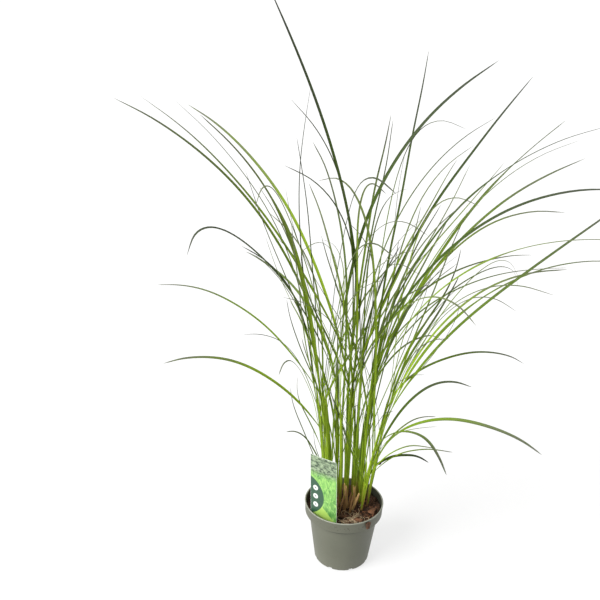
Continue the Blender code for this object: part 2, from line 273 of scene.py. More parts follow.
class LabelSettings(bpy.types.PropertyGroup):
    """Sizes and colours of the stick-in label."""

    thickness: length("Thickness", "Thickness of the card", 0.5 * MM)
    bow: length("Bow", "How far the card's middle stands forward of its sides", 0.9 * MM)
    aside: length("Aside", "How far the card stands to the left of the packed one", 2.2 * MM)
    lean: length("Lean", "How far its top leans to the left", 5.0 * MM)
    lift: length("Lift", "How far its top stands above the packed one", 3.0 * MM)
    light: colour("Light green", "Lit blades in the print", (0.29, 0.55, 0.135))
    middle: colour("Middle green", "Main colour of the print", (0.17, 0.42, 0.085))
    deep: colour("Deep green", "Shaded blades in the print", (0.060, 0.20, 0.045))
    disc: colour("Disc colour", "Dark round panel", (0.028, 0.085, 0.046))
    paper: colour("Paper colour", "Card edge and back", (0.72, 0.74, 0.70))
    corner: colour("Corner colour", "Plain corner at the foot", (0.36, 0.56, 0.11))


class GrassSettings(bpy.types.PropertyGroup):
    """Sizes and colours of the shoots and leaves."""

    keel: share("Keel", "Depth of a leaf's fold, as a share of its half width", 0.34)
    thickness: share("Thickness", "Thickness of a leaf, as a share of its half width", 0.07)
    breadth: FloatProperty(
        name="Breadth", description="Width of the leaves against the packed ones", subtype="FACTOR",
        min=0.1, max=3.0, default=1.0
    )
    sheath: length("Sheath", "Length of leaf that clasps the shoot below each blade", 0.085)
    wave: length("Wave", "How far a leaf wanders from a smooth arc", 2.2 * MM)
    # The young and fresh colours are the paler foot of the leaves, made brighter still as painted light
    # standing for light that shines through the lower leaves.
    young: colour("Young colour", "Sheaths and the feet of the blades", (0.350, 0.530, 0.018))
    fresh: colour("Fresh colour", "Lower half of the blades", (0.215, 0.350, 0.010))
    mature: colour("Mature colour", "Upper half of the blades", (0.112, 0.180, 0.014))
    tip: colour("Tip colour", "Ends of the blades", (0.110, 0.112, 0.090))
    rib: colour("Rib colour", "Middle rib of the blades", (0.220, 0.330, 0.050))


class DrySettings(bpy.types.PropertyGroup):
    """Colours of last year's dry stems and sheaths."""

    straw: colour("Straw colour", "Bleached stems", (0.98, 0.70, 0.30))
    husk: colour("Husk colour", "Brown dead sheaths", (0.560, 0.310, 0.110))


class StageSettings(bpy.types.PropertyGroup):
    """Floor, light and camera."""

    floor: colour("Floor colour", "Pale floor", (0.30, 0.30, 0.30))
    glow: light_strength("Floor glow", "Light of the floor itself", 0.69)
    key: light_strength("Key light", "Strength of the main light", 3.6)
    sky: light_strength("Sky light", "Strength of the light overhead", 0.5)
    lens: FloatProperty(
        name="Lens", description="Focal length", unit="CAMERA", min=10.0, default=54.0
    )


# ---------------------------------------------------------------- node helpers


def feed(tree, socket, value):
    """Link a socket to another, or give it a value."""
    if isinstance(value, bpy.types.NodeSocket):
        tree.links.new(value, socket)
    elif value is not None:
        if socket.type == "RGBA" and len(value) == 3:
            value = (*value, 1.0)
        socket.default_value = value


class Graph:
    """A node tree, with short ways of adding what this model uses."""

    def __init__(self, tree):
        self.tree = tree

    def add(self, kind, inputs=None, output=0, **settings):
        """A node with its settings and inputs; returns one of its outputs."""
        node = self.tree.nodes.new(kind)
        for name, value in settings.items():
            setattr(node, name, value)
        for key, value in (inputs or {}).items():
            feed(self.tree, node.inputs[key], value)
        return node.outputs[output]

    def sum(self, operation, *values):
        """One step of arithmetic."""
        return self.add("ShaderNodeMath", dict(enumerate(values)), operation=operation)

    def attribute(self, name, output=2):
        """A value stored on the mesh (for materials)."""
        return self.add("ShaderNodeAttribute", output=output, attribute_name=name)

    def stored(self, name, kind="FLOAT"):
        """A value stored on the mesh (for geometry)."""
        return self.add("GeometryNodeInputNamedAttribute", {"Name": name}, data_type=kind)

    def noise(self, vector, scale, detail=3.0, roughness=0.55, distortion=0.0):
        """Cloudy noise from 0 to 1."""
        inputs = {"Vector": vector, "Scale": scale, "Detail": detail}
        inputs.update({"Roughness": roughness, "Distortion": distortion})
        return self.add("ShaderNodeTexNoise", inputs)

    def stretch(self, vector, scale):
        """A pattern's coordinates, stretched."""
        return self.add("ShaderNodeMapping", {"Vector": vector, "Scale": scale})

    def span(self, value, low, high, bottom=0.0, top=1.0):
        """Carry a value from low..high to bottom..top, and stop there."""
        inputs = {"Value": value, "From Min": low, "From Max": high, "To Min": bottom, "To Max": top}
        return self.add("ShaderNodeMapRange", inputs)

    def mix(self, factor, first, second, blend="MIX"):
        """Mix two colours."""
        node = self.tree.nodes.new("ShaderNodeMix")
        node.data_type = "RGBA"
        node.blend_type = blend
        feed(self.tree, node.inputs[0], factor)
        feed(self.tree, node.inputs[6], first)
        feed(self.tree, node.inputs[7], second)
        return node.outputs[2]


class Finish(Graph):
    """A procedural material on one shader."""

    def __init__(self, name, roughness, specular=0.5):
        self.material = bpy.data.materials.new(name)
        self.material.use_nodes = True
        super().__init__(self.material.node_tree)
        self.shader = self.tree.nodes["Principled BSDF"]
        self.shader.inputs["Specular IOR Level"].default_value = specular
        self.shader.inputs["Roughness"].default_value = roughness
        self.place = self.add("ShaderNodeTexCoord", output=3)

    def colour(self, value):
        """Set the surface colour."""
        feed(self.tree, self.shader.inputs["Base Color"], value)

    def roughness(self, value):
        """Set the roughness."""
        feed(self.tree, self.shader.inputs["Roughness"], value)

    def relief(self, height, distance, strength=1.0):
        """Raise the surface by a height pattern."""
        inputs = {"Strength": strength, "Distance": distance, "Height": height}
        feed(self.tree, self.shader.inputs["Normal"], self.add("ShaderNodeBump", inputs))


# ---------------------------------------------------------------- mesh helpers


def add_piece(name, mesh):
    """An object for a mesh, at the origin."""
    piece = bpy.data.objects.new(name, mesh)
    bpy.context.scene.collection.objects.link(piece)
    return piece


def settle(piece, slot, *nodes):
    """Make a finished piece ride on the pot and hide the imported parts it replaces; slot is not used."""
    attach(piece, BODY)
    if nodes:
        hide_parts(*nodes)


def level(turn):
    """The level direction at an angle from +X."""
    return Vector((math.cos(turn), math.sin(turn), 0.0))


def store(mesh, name, values):
    """Keep one number for each point of a mesh."""
    mesh.attributes.new(name, "FLOAT", "POINT").data.foreach_set("value", values)


def mesh_from(body, name):
    """Turn a bmesh into a mesh and free it."""
    mesh = bpy.data.meshes.new(name)
    body.to_mesh(mesh)
    body.free()
    return mesh


def join_rings(body, rings, segments):
    """Close each ring of points to the next; a ring may be a single point."""
    for lower, upper in zip(rings, rings[1:]):
        for k in range(segments):
            corners = [lower[k % len(lower)], lower[(k + 1) % len(lower)]]
            corners += [upper[(k + 1) % len(upper)], upper[k % len(upper)]]
            body.faces.new(list(dict.fromkeys(corners)))


def tidy_mesh(mesh, crease=50.0):
    """Point every face outwards and smooth all but the sharp edges."""
    body = bmesh.new()
    body.from_mesh(mesh)
    bmesh.ops.remove_doubles(body, verts=body.verts, dist=TINY)
    bmesh.ops.recalc_face_normals(body, faces=body.faces)
    for face in body.faces:
        face.smooth = True
    body.to_mesh(mesh)
    body.free()
    mesh.set_sharp_from_angle(angle=math.radians(crease))


def bake_modifiers(piece):
    """Turn a piece and its modifiers into a plain mesh."""
    graph = bpy.context.evaluated_depsgraph_get()
    mesh = bpy.data.meshes.new_from_object(piece.evaluated_get(graph))
    mesh.name = piece.name
    piece.modifiers.clear()
    piece.data = mesh
    return mesh


def turned_mesh(name, profile, segments):
    """A closed turned shape; each profile row is radius, height and a mark kept as "inside"."""
    body = bmesh.new()
    mark_layer = body.verts.layers.float.new("inside")
    rings = []
    for radius, height, mark in profile:
        turns = [FULL_TURN * k / segments for k in range(segments)] if radius > TINY else [0.0]
        ring = []
        for turn in turns:
            vert = body.verts.new((radius * math.cos(turn), radius * math.sin(turn), height))
            vert[mark_layer] = mark
            ring.append(vert)
        rings.append(ring)
    join_rings(body, rings, segments)
    return mesh_from(body, name)


def arc(middle_radius, middle_height, radius, start, end, steps=6):
    """Profile points round a corner, from one angle to another in degrees."""
    rows = []
    for k in range(steps + 1):
        turn = math.radians(start + (end - start) * k / steps)
        rows.append((middle_radius + radius * math.cos(turn), middle_height + radius * math.sin(turn)))
    return rows


def node_rings(node):
    """Middle and half width of each ring of points of a packed leaf or shoot, from its foot."""
    rings = []
    for vertex in frame["nodes"][node].data.vertices:
        point = vertex.co.copy()
        near, far = [], []
        for ring in rings:
            touching = any((point - other).length < RING_LINK for other in ring)
            (near if touching else far).append(ring)
        rings = far + [[point] + [other for ring in near for other in ring]]
    rows = []
    for ring in rings:
        low = Vector(min(point[axis] for point in ring) for axis in range(3))
        high = Vector(max(point[axis] for point in ring) for axis in range(3))
        middle = (low + high) / 2
        rows.append((middle, max((point - middle).length for point in ring)))
    current = min(rows, key=lambda row: row[0].z)
    chain = [current]
    rows.remove(current)
    while rows:
        current = min(rows, key=lambda row: (row[0] - chain[-1][0]).length)
        chain.append(current)
        rows.remove(current)
    return chain


class Shoot:
    """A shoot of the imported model, to be asked for its axis and radius."""

    def __init__(self, node):
        self.rings = node_rings(node)
        self.foot = self.rings[0][0].z
        self.head = self.rings[-1][0].z

    def at(self, height):
        """Axis and radius at a height."""
        for (low, low_radius), (high, high_radius) in zip(self.rings, self.rings[1:]):
            if height <= high.z or high.z == self.head:
                part = (height - low.z) / (high.z - low.z)
                part = max(0.0, min(1.0, part))
                return low.lerp(high, part), low_radius + (high_radius - low_radius) * part
        raise ValueError("a shoot has no rings")


def smoothed(rows, steps):
    """A smooth run of rows through the given ones, with so many steps in each gap."""
    ends = [rows[0] * 2 - rows[1]] + rows + [rows[-1] * 2 - rows[-2]]
    run = []
    for a, b, c, d in zip(ends, ends[1:], ends[2:], ends[3:]):
        for k in range(steps):
            t = k / steps
            curve = (2 * a - 5 * b + 4 * c - d) * t * t + (3 * b - a - 3 * c + d) * t ** 3
            run.append((2 * b + (c - a) * t + curve) * 0.5)
    run.append(rows[-1])
    return run


class Strand:
    """A path to sweep: place, facing, half width and share of the length at each point."""

    def __init__(self, tint):
        self.places = []
        self.facings = []
        self.halves = []
        self.shares = []
        self.tint = tint

    def add(self, place, facing, half, part):
        """One more point of the path."""
        self.places.append(place)
        self.facings.append(facing)
        self.halves.append(half)
        self.shares.append(part)


def leaf_strand(places, halves, shoot, draw, grass, steps=4):
    """A leaf's strand: its sheath down the shoot, then its blade through the given places."""
    axis, _ = shoot.at(places[0].z)
    out = (places[0] - axis) * Vector((1, 1, 0))
    out.normalize()
    drop = min(grass.sheath, places[0].z - shoot.foot - 4 * MM)
    rows = []
    for part in (1.0, 0.7, 0.4, 0.16):
        below, girth = shoot.at(places[0].z - drop * part)
        place = below + out * girth * 0.72
        rows.append(Vector((*place, girth * (0.78 - 0.15 * (1 - part)), -drop * part)))
    run = 0.0
    for index, (place, half) in enumerate(zip(places, halves)):
        run += (place - places[index - 1]).length if index else 0.0
        rows.append(Vector((*place, half, run)))
    rows = smoothed(rows, steps)
    heading = (places[-1] - places[0]) * Vector((1, 1, 0))
    heading = heading.normalized() if heading.length > TINY else out
    side = UP.cross(heading)
    aside = math.copysign(1.0, heading.x)
    start_twist = aside * draw.uniform(0.3, 1.0)
    end_twist = aside * draw.uniform(-0.7, 0.4)
    phases = [draw.uniform(0.0, FULL_TURN) for _ in range(3)]
    path = [Vector(row[:3]) for row in rows]
    strand = Strand(draw.random())
    for index, row in enumerate(rows):
        along = row[4] / run
        before, after = path[max(index - 1, 0)], path[min(index + 1, len(path) - 1)]
        tangent = (after - before).normalized()
        facing = tangent.cross(side).normalized()
        blade = max(along, 0.0)
        turn = start_twist * min(1.0, blade * 4) + end_twist * blade ** 1.3
        facing = Quaternion(tangent, turn) @ facing
        sway = grass.wave * blade
        offset = side * sway * math.sin(7.0 * blade + phases[0])
        offset += side * sway * 0.4 * math.sin(17.0 * blade + phases[1])
        offset += facing * sway * 0.4 * math.sin(11.0 * blade + phases[2])
        point = min(1.0, (1.0 - along) / 0.03 + 0.25)
        strand.add(path[index] + offset, facing, max(row[3], LEAST_HALF) * point, along)
    return strand


# ---------------------------------------------------------------- geometry trees


def new_tree(name, sockets):
    """A geometry tree with a geometry input and output and these named inputs."""
    tree = bpy.data.node_groups.new(name, "GeometryNodeTree")
    tree.interface.new_socket("Geometry", in_out="INPUT", socket_type="NodeSocketGeometry")
    tree.interface.new_socket("Geometry", in_out="OUTPUT", socket_type="NodeSocketGeometry")
    for label, kind in sockets:
        tree.interface.new_socket(label, in_out="INPUT", socket_type="NodeSocket" + kind)
    graph = Graph(tree)
    source = tree.nodes.new("NodeGroupInput")
    return graph, source.outputs


def close_tree(graph, geometry, finish):
    """End a tree with plain geometry in one finish."""
    plain = graph.add("GeometryNodeRealizeInstances", {"Geometry": geometry})
    dressed = graph.add("GeometryNodeSetMaterial", {"Geometry": plain, "Material": finish})
    end = graph.tree.nodes.new("NodeGroupOutput")
    graph.tree.links.new(dressed, end.inputs[0])
    return graph.tree


def run_tree(piece, tree, values):
    """Run a geometry tree on a piece with named input values, and keep the plain mesh."""
    modifier = piece.modifiers.new("grow", "NODES")
    modifier.node_group = tree
    for item in tree.interface.items_tree:
        if item.in_out == "INPUT" and item.name in values:
            modifier[item.identifier] = values[item.name]
    return bake_modifiers(piece)


def sweep_tree():
    """Sweeps a section along every wire, by the width and facing stored on its points."""
    sockets = [("Section", "Object"), ("Keel", "Float"), ("Thickness", "Float"), ("Finish", "Material")]
    graph, given = new_tree("grass_sweep", sockets)
    wires = graph.add("GeometryNodeMeshToCurve", {"Mesh": given["Geometry"]})
    inputs = {"Curve": wires, "Normal": graph.stored("facing", "FLOAT_VECTOR")}
    wires = graph.add("GeometryNodeSetCurveNormal", inputs, mode="FREE")
    shape = graph.add("GeometryNodeObjectInfo", {"Object": given["Section"]}, output="Geometry")
    depth = graph.sum("MULTIPLY", graph.stored("bow"), given["Keel"])
    rise = graph.sum("MULTIPLY_ADD", graph.stored("side"), given["Thickness"], depth)
    offset = graph.add("ShaderNodeCombineXYZ", {"X": rise})
    shape = graph.add("GeometryNodeSetPosition", {"Geometry": shape, "Offset": offset})
    shape = graph.add("GeometryNodeMeshToCurve", {"Mesh": shape})
    inputs = {"Curve": wires, "Profile Curve": shape, "Scale": graph.stored("half_width")}
    inputs["Fill Caps"] = True
    swept = graph.add("GeometryNodeCurveToMesh", inputs)
    for name in ("half_width", "facing", "bow", "side"):
        swept = graph.add("GeometryNodeRemoveAttribute", {"Geometry": swept, "Name": name})
    return close_tree(graph, swept, given["Finish"])


def scatter_tree():
    """Scatters crumbs over the upward faces of a surface, inside a radius."""
    sockets = [("Crumbs", "Collection"), ("Spacing", "Float"), ("Reach", "Float")]
    sockets += [("Smallest", "Float"), ("Largest", "Float"), ("Seed", "Int"), ("Finish", "Material")]
    graph, given = new_tree("mix_scatter", sockets)
    normal = graph.add("ShaderNodeSeparateXYZ", {0: graph.add("GeometryNodeInputNormal")}, output=2)
    upward = graph.sum("GREATER_THAN", normal, 0.4)
    place = graph.add("GeometryNodeInputPosition")
    flat = graph.add("ShaderNodeVectorMath", {0: place, 1: (1, 1, 0)}, operation="MULTIPLY")
    radius = graph.add("ShaderNodeVectorMath", {0: flat}, output=1, operation="LENGTH")
    inside = graph.sum("MULTIPLY", graph.sum("LESS_THAN", radius, given["Reach"]), upward)
    inputs = {"Mesh": given["Geometry"], "Selection": inside, "Distance Min": given["Spacing"]}
    inputs.update({"Density Max": 300000.0, "Seed": given["Seed"]})
    points = graph.add("GeometryNodeDistributePointsOnFaces", inputs, distribute_method="POISSON")
    inputs = {"Collection": given["Crumbs"], "Separate Children": True, "Reset Children": True}
    shapes = graph.add("GeometryNodeCollectionInfo", inputs)
    inputs = {0: (0, 0, 0), 1: (FULL_TURN,) * 3, "Seed": given["Seed"]}
    turn = graph.add("FunctionNodeRandomValue", inputs, data_type="FLOAT_VECTOR")
    turn = graph.add("FunctionNodeEulerToRotation", {0: turn})
    spread = graph.add("FunctionNodeRandomValue", {2: 0.0, 3: 1.0, "Seed": given["Seed"]}, output=1)
    spread = graph.sum("POWER", spread, 2.6)
    inputs = {"Value": spread, "To Min": given["Smallest"], "To Max": given["Largest"]}
    size = graph.add("ShaderNodeMapRange", inputs)
    inputs = {"Points": points, "Instance": shapes, "Pick Instance": True}
    inputs.update({"Rotation": turn, "Scale": size})
    crumbs = graph.add("GeometryNodeInstanceOnPoints", inputs)
    tint = graph.add("FunctionNodeRandomValue", {2: 0.0, 3: 1.0, "Seed": 5}, output=1)
    inputs = {"Geometry": crumbs, "Name": "tint", "Value": tint}
    crumbs = graph.add("GeometryNodeStoreNamedAttribute", inputs, data_type="FLOAT", domain="INSTANCE")
    return close_tree(graph, crumbs, given["Finish"])


def section_object(name, rows):
    """A closed section to sweep; each row is x, y, across, bow and side."""
    mesh = bpy.data.meshes.new(name)
    last = len(rows)
    edges = [(k, (k + 1) % last) for k in range(last)]
    mesh.from_pydata([(row[0], row[1], 0.0) for row in rows], edges, [])
    for label, column in (("across", 2), ("bow", 3), ("side", 4)):
        store(mesh, label, [float(row[column]) for row in rows])
    return bpy.data.objects.new(name, mesh)


def blade_section():
    """A leaf's section: two wings folded along a keel."""
    upper = (-0.72, -0.4, -0.13, 0.0, 0.13, 0.4, 0.72)
    rows = [(0.0, -1.0, -1.0, 1.0, 0.0)]
    rows += [(0.0, u, u, abs(u) ** 1.25, 1.0) for u in upper]
    rows += [(0.0, 1.0, 1.0, 1.0, 0.0)]
    rows += [(0.0, u, u, abs(u) ** 1.25, -1.0 - 1.2 * (u == 0.0)) for u in reversed(upper)]
    return section_object("blade_section", rows)


def round_section(name, sides, ribs, depth, flat):
    """A ribbed stem's section, flatter one way than the other."""
    rows = []
    for k in range(sides):
        turn = FULL_TURN * k / sides
        radius = 1.0 + depth * math.cos(ribs * turn)
        rows.append((flat * radius * math.cos(turn), radius * math.sin(turn), k / sides, 0.0, 0.0))
    return section_object(name, rows)


class Loom:
    """The sweep tree and its sections, kept while the pieces are made."""

    tree = None
    sections = {}

    @classmethod
    def section(cls, name):
        """A section by name, made when first asked for."""
        if name not in cls.sections:
            if name == "blade":
                cls.sections[name] = blade_section()
            elif name == "shoot":
                cls.sections[name] = round_section("shoot_section", 36, 9, 0.07, 0.86)
            else:
                cls.sections[name] = round_section("fibre_section", 6, 1, 0.0, 1.0)
        return cls.sections[name]


def sweep(name, strands, section, finish, keel=0.0, thickness=0.0):
    """One plain piece swept along all the strands."""
    if Loom.tree is None:
        Loom.tree = sweep_tree()
    mesh = bpy.data.meshes.new(name)
    edges = []
    start = 0
    for strand in strands:
        edges += [(start + k, start + k + 1) for k in range(len(strand.places) - 1)]
        start += len(strand.places)
    mesh.from_pydata([place for strand in strands for place in strand.places], edges, [])
    columns = {
        "half_width": [half for strand in strands for half in strand.halves],
        "along": [part for strand in strands for part in strand.shares],
        "tint": [strand.tint for strand in strands for _ in strand.places],
    }
    for label, values in columns.items():
        store(mesh, label, values)
    facings = [value for strand in strands for facing in strand.facings for value in facing]
    mesh.attributes.new("facing", "FLOAT_VECTOR", "POINT").data.foreach_set("vector", facings)
    piece = add_piece(name, mesh)
    values = {"Section": Loom.section(section), "Keel": keel, "Thickness": thickness, "Finish": finish}
    tidy_mesh(run_tree(piece, Loom.tree, values))
    return piece


# ---------------------------------------------------------------- pot


def pot_profile(pot):
    """Half of the pot's section, from the inner floor round the lip to the underside."""
    step = POT_HEIGHT - pot.band_height
    heel = pot.body_base - pot.foot
    floor = pot.wall + 0.2 * MM
    band_foot = RIM_RADIUS - 1.3 * MM
    inside = [(0.0, floor), (pot.foot - pot.wall, floor)]
    inside += arc(pot.foot - pot.wall, floor + 3 * MM, 3 * MM, -80, -5, 5)
    inside += [(pot.body_top - pot.wall, step - 1.8 * MM), (band_foot - pot.wall, step + 0.9 * MM)]
    inside += [(RIM_RADIUS - 1.9 * MM, POT_HEIGHT - 3 * pot.lip)]
    outside = arc(RIM_RADIUS - pot.lip, POT_HEIGHT - pot.lip, pot.lip, 180, -35, 12)
    outside += [(RIM_RADIUS - 0.55 * MM, POT_HEIGHT - 2.4 * pot.lip)]
    outside += [(RIM_RADIUS - 0.62 * MM, POT_HEIGHT - 3.4 * pot.lip)]
    outside += arc(band_foot - 0.7 * MM, step + 0.7 * MM, 0.7 * MM, 0, -90, 5)
    outside += [(pot.body_top + 0.5 * MM, step + 0.5 * MM)]
    outside += arc(pot.body_top + 0.7 * MM, step - 0.6 * MM, 0.7 * MM, 110, 180, 5)
    outside += [(pot.body_base + (pot.body_top - pot.body_base) * part, heel + (step - heel) * part)
                for part in (0.9, 0.7, 0.5, 0.3, 0.1)]
    outside += arc(pot.foot, heel, heel, 0, -90, 8)
    outside += [(pot.foot - 3.0 * MM, 0.0), (pot.foot - 4.0 * MM, 0.7 * MM), (0.0, 0.7 * MM)]
    return [(*row, 1.0) for row in inside] + [(*row, 0.0) for row in outside]


def pot_finish(pot):
    """Matt moulded plastic with a pale lip, partly rubbed and partly a painted highlight, painted shade under
    the band, dust inside and specks on the band.
    """
    look = Finish("pot_plastic", 0.5, 0.4)
    height = look.add("ShaderNodeSeparateXYZ", {0: look.place}, output=2)
    cloud = look.noise(look.place, 26.0, 4.0)
    shell = look.mix(look.span(cloud, 0.3, 0.7, 0.0, 0.16), pot.shell, (0.22, 0.225, 0.175))
    streak = look.noise(look.stretch(look.place, (60.0, 60.0, 4.0)), 1.0, 2.0)
    shell = look.mix(look.span(streak, 0.45, 0.75, 0.0, 0.12), shell, (0.095, 0.10, 0.072))
    step = POT_HEIGHT - pot.band_height
    # Painted shade: the body is darkened from about 5 mm under the band's step up to the step, where the
    # band's overhang would shade it.
    painted_step_shade = look.span(height, step - 5.9 * MM, step - 4.8 * MM, 0.0, 0.9)
    painted_step_shade = look.sum("MULTIPLY", painted_step_shade, look.span(height, step, step + 0.6 * MM, 1.0, 0.0))
    shell = look.mix(painted_step_shade, shell, (0.022, 0.023, 0.017))
    foot_dust = look.span(height, 0.0, 0.03, 0.35, 0.0)
    shell = look.mix(foot_dust, shell, (0.16, 0.162, 0.125))
    speck = look.span(look.noise(look.place, 420.0, 1.0), 0.64, 0.68)
    patch = look.span(look.noise(look.place, 45.0, 2.0), 0.46, 0.62)
    band = look.span(height, POT_HEIGHT - 0.017, POT_HEIGHT - 0.010)
    speck = look.sum("MULTIPLY", look.sum("MULTIPLY", speck, patch), band)
    shell = look.mix(speck, shell, pot.stain)
    # The pale lip: partly rubbed plastic, partly a painted highlight along the bead.
    lip = look.span(height, POT_HEIGHT - 1.5 * MM, POT_HEIGHT - 0.4 * MM, 0.0, 0.85)
    rubbed_and_highlit_lip = look.sum("MULTIPLY", lip, look.span(look.noise(look.place, 90.0), 0.25, 0.55, 0.5, 1.0))
    shell = look.mix(rubbed_and_highlit_lip, shell, pot.edge)
    inside = look.attribute("inside")
    dust = look.span(look.noise(look.place, 160.0, 5.0, 0.7), 0.42, 0.66)
    depth = look.span(height, POT_HEIGHT - 2 * MM, POT_HEIGHT - 11 * MM, 0.15, 0.9)
    dirty = look.sum("MULTIPLY", look.sum("MULTIPLY", inside, dust), depth)
    shell = look.mix(dirty, shell, pot.stain)
    look.colour(look.mix(look.sum("MULTIPLY", inside, 0.45), shell, (0.07, 0.075, 0.06)))
    look.roughness(look.span(cloud, 0.3, 0.7, 0.42, 0.58))
    grain = look.noise(look.place, 1500.0, 2.0)
    look.relief(grain, 0.05 * MM, 0.5)
    return look.material


class GRASS_OT_pot(bpy.types.Operator):
    """Make the nursery pot, turned from its section, with drainage notches in its heel"""

    bl_idname = "grass.make_pot"
    bl_label = "Pot"

    def execute(self, context):
        pot = context.scene.grass_pot
        piece = add_piece("nursery_pot", turned_mesh("nursery_pot", pot_profile(pot), 144))
        tidy_mesh(piece.data)
        cutters = bmesh.new()
        for index in range(pot.notches):
            turn = FULL_TURN / pot.notches * (index + 0.5)
            box = bmesh.ops.create_cube(cutters, size=1.0)["verts"]
            size = (NOTCH_OUTER - NOTCH_INNER, pot.notch_width, 2 * pot.notch_height)
            bmesh.ops.scale(cutters, verts=box, vec=size)
            for corner in box:
                if corner.co.z > 0:
                    corner.co.y *= NOTCH_TOP
            bmesh.ops.translate(cutters, verts=box, vec=((NOTCH_INNER + NOTCH_OUTER) / 2, 0.0, 0.0))
            bmesh.ops.rotate(cutters, verts=box, cent=(0, 0, 0), matrix=Matrix.Rotation(turn, 3, "Z"))
        cutter = add_piece("notch_cutter", mesh_from(cutters, "notch_cutter"))
        cut = piece.modifiers.new("drainage", "BOOLEAN")
        cut.object = cutter
        cut.solver = "EXACT"
        mesh = bake_modifiers(piece)
        bpy.data.objects.remove(cutter)
        mesh.materials.clear()
        mesh.materials.append(pot_finish(pot))
        for face in mesh.polygons:
            face.use_smooth = True
            face.material_index = 0
        mesh.set_sharp_from_angle(angle=math.radians(35.0))
        settle(piece, "pot_plastic", "pot")
        return {"FINISHED"}


# ---------------------------------------------------------------- potting mix


def mix_height(x, y, relief):
    """Height of the mix's surface, lumpy and a little heaped round the shoots."""
    lumps = noise.fractal(Vector((x, y, 0.3)) * 70.0, 0.6, 2.2, 5)
    heap = 1.6 * MM * math.exp(-((x - 1.0 * CM) ** 2 + (y - 1.0 * CM) ** 2) / (3.0 * CM) ** 2)
    return MIX_HIGH.z - 1.2 * MM + lumps * relief + heap


def mix_mesh(relief):
    """The body of the mix: a lumpy top on plain sides."""
    reach = MIX_HIGH.x - 0.2 * MM
    low = MIX_LOW.z
    body = bmesh.new()
    segments = 120
    rings = [[body.verts.new((0, 0, mix_height(0, 0, relief)))]]
    radii = [reach * (k / 44) ** 0.85 for k in range(1, 45)]
    for radius in radii:
        ring = []
        for k in range(segments):
            x = radius * math.cos(FULL_TURN * k / segments)
            y = radius * math.sin(FULL_TURN * k / segments)
            ring.append(body.verts.new((x, y, mix_height(x, y, relief))))
        rings.append(ring)
    sides = ((reach - 1.6 * MM, 84.5 * MM), (51.0 * MM, 82.0 * MM), (38.5 * MM, 5.5 * MM))
    for radius, height in sides:
        turns = [FULL_TURN * k / segments for k in range(segments)]
        rings.append([body.verts.new((radius * math.cos(t), radius * math.sin(t), height)) for t in turns])
    rings.append([body.verts.new((0, 0, low + 1 * MM))])
    join_rings(body, rings, segments)
    mesh = mesh_from(body, "potting_soil")
    tidy_mesh(mesh, 180.0)
    return mesh


def mix_finish(mix):
    """Dark, damp, crumbly mix."""
    look = Finish("damp_mix", 0.85, 0.3)
    coarse = look.noise(look.place, 240.0, 6.0, 0.7)
    fine = look.noise(look.place, 900.0, 4.0, 0.7)
    brown = look.mix(look.span(fine, 0.4, 0.65), mix.dark, mix.brown)
    look.colour(look.mix(look.span(coarse, 0.40, 0.62), mix.dark, brown))
    look.relief(coarse, 1.2 * MM, 0.9)
    return look.material


def bark_finish(name, mix, along):
    """Fibrous bark, redder or darker from piece to piece."""
    look = Finish(name, 0.78, 0.3)
    grain = look.noise(look.stretch(look.place, along), 1.0, 5.0, 0.65, 0.4)
    patch = look.noise(look.place, 160.0, 3.0)
    tint = look.attribute("tint")
    base = look.mix(look.span(tint, 0.15, 0.9), mix.dark, mix.brown)
    base = look.mix(look.sum("MULTIPLY", look.span(tint, 0.6, 0.95), 0.9), base, mix.red)
    base = look.mix(look.span(patch, 0.5, 0.75, 0.0, 0.5), base, mix.red)
    look.colour(look.mix(look.span(grain, 0.35, 0.7, 0.55, 0.0), base, mix.dark))
    look.relief(grain, 0.5 * MM, 0.9)
    return look.material


# Half length, width and thickness of each kind of crumb, against one another
CRUMB_SIZES = ((1.0, 0.7, 0.5), (1.2, 0.45, 0.3), (0.8, 0.7, 0.6), (1.5, 0.35, 0.22), (1.0, 0.9, 0.25))


def crumb_shapes(draw):
    """A few rough crumbs, each about one unit long in half."""
    shapes = bpy.data.collections.new("crumb_shapes")
    for index, (long, wide, thick) in enumerate(CRUMB_SIZES):
        body = bmesh.new()
        bmesh.ops.create_icosphere(body, subdivisions=1, radius=1.0)
        for vertex in body.verts:
            vertex.co *= draw.uniform(0.75, 1.15)
            vertex.co = Vector((vertex.co.x * long, vertex.co.y * wide, vertex.co.z * thick))
        mesh = mesh_from(body, f"crumb_shape_{index}")
        shapes.objects.link(bpy.data.objects.new(mesh.name, mesh))
    return shapes


class GRASS_OT_mix(bpy.types.Operator):
    """Make the potting mix and the crumbs scattered over it"""

    bl_idname = "grass.make_mix"
    bl_label = "Potting mix"

    def execute(self, context):
        mix = context.scene.grass_mix
        soil = mix_mesh(mix.relief)
        piece = add_piece("potting_soil", soil)
        soil.materials.append(mix_finish(mix))
        crumbs = add_piece("mix_crumbs", soil.copy())
        shapes = crumb_shapes(random.Random(4))
        values = {"Crumbs": shapes, "Spacing": mix.spacing, "Reach": MIX_HIGH.x - 2.6 * MM}
        values.update({"Smallest": mix.smallest, "Largest": mix.largest, "Seed": 3})
        values["Finish"] = bark_finish("crumb_bark", mix, (500.0, 500.0, 500.0))
        tree = scatter_tree()
        run_tree(crumbs, tree, values)

        shards = add_piece("bark_shards", soil.copy())
        values.update({"Spacing": 4.2 * MM, "Reach": MIX_HIGH.x - 4.5 * MM, "Seed": 12})
        values.update({"Smallest": 1.6 * MM, "Largest": mix.shard})
        values["Finish"] = bark_finish("shard_bark", mix, (300.0, 300.0, 120.0))
        run_tree(shards, tree, values)
        for shape in list(shapes.objects):
            bpy.data.objects.remove(shape)
        bpy.data.collections.remove(shapes)
        settle(piece, "potting_mix", "potting_mix")
        settle(crumbs, "bark")
        settle(shards, "bark")
        return {"FINISHED"}


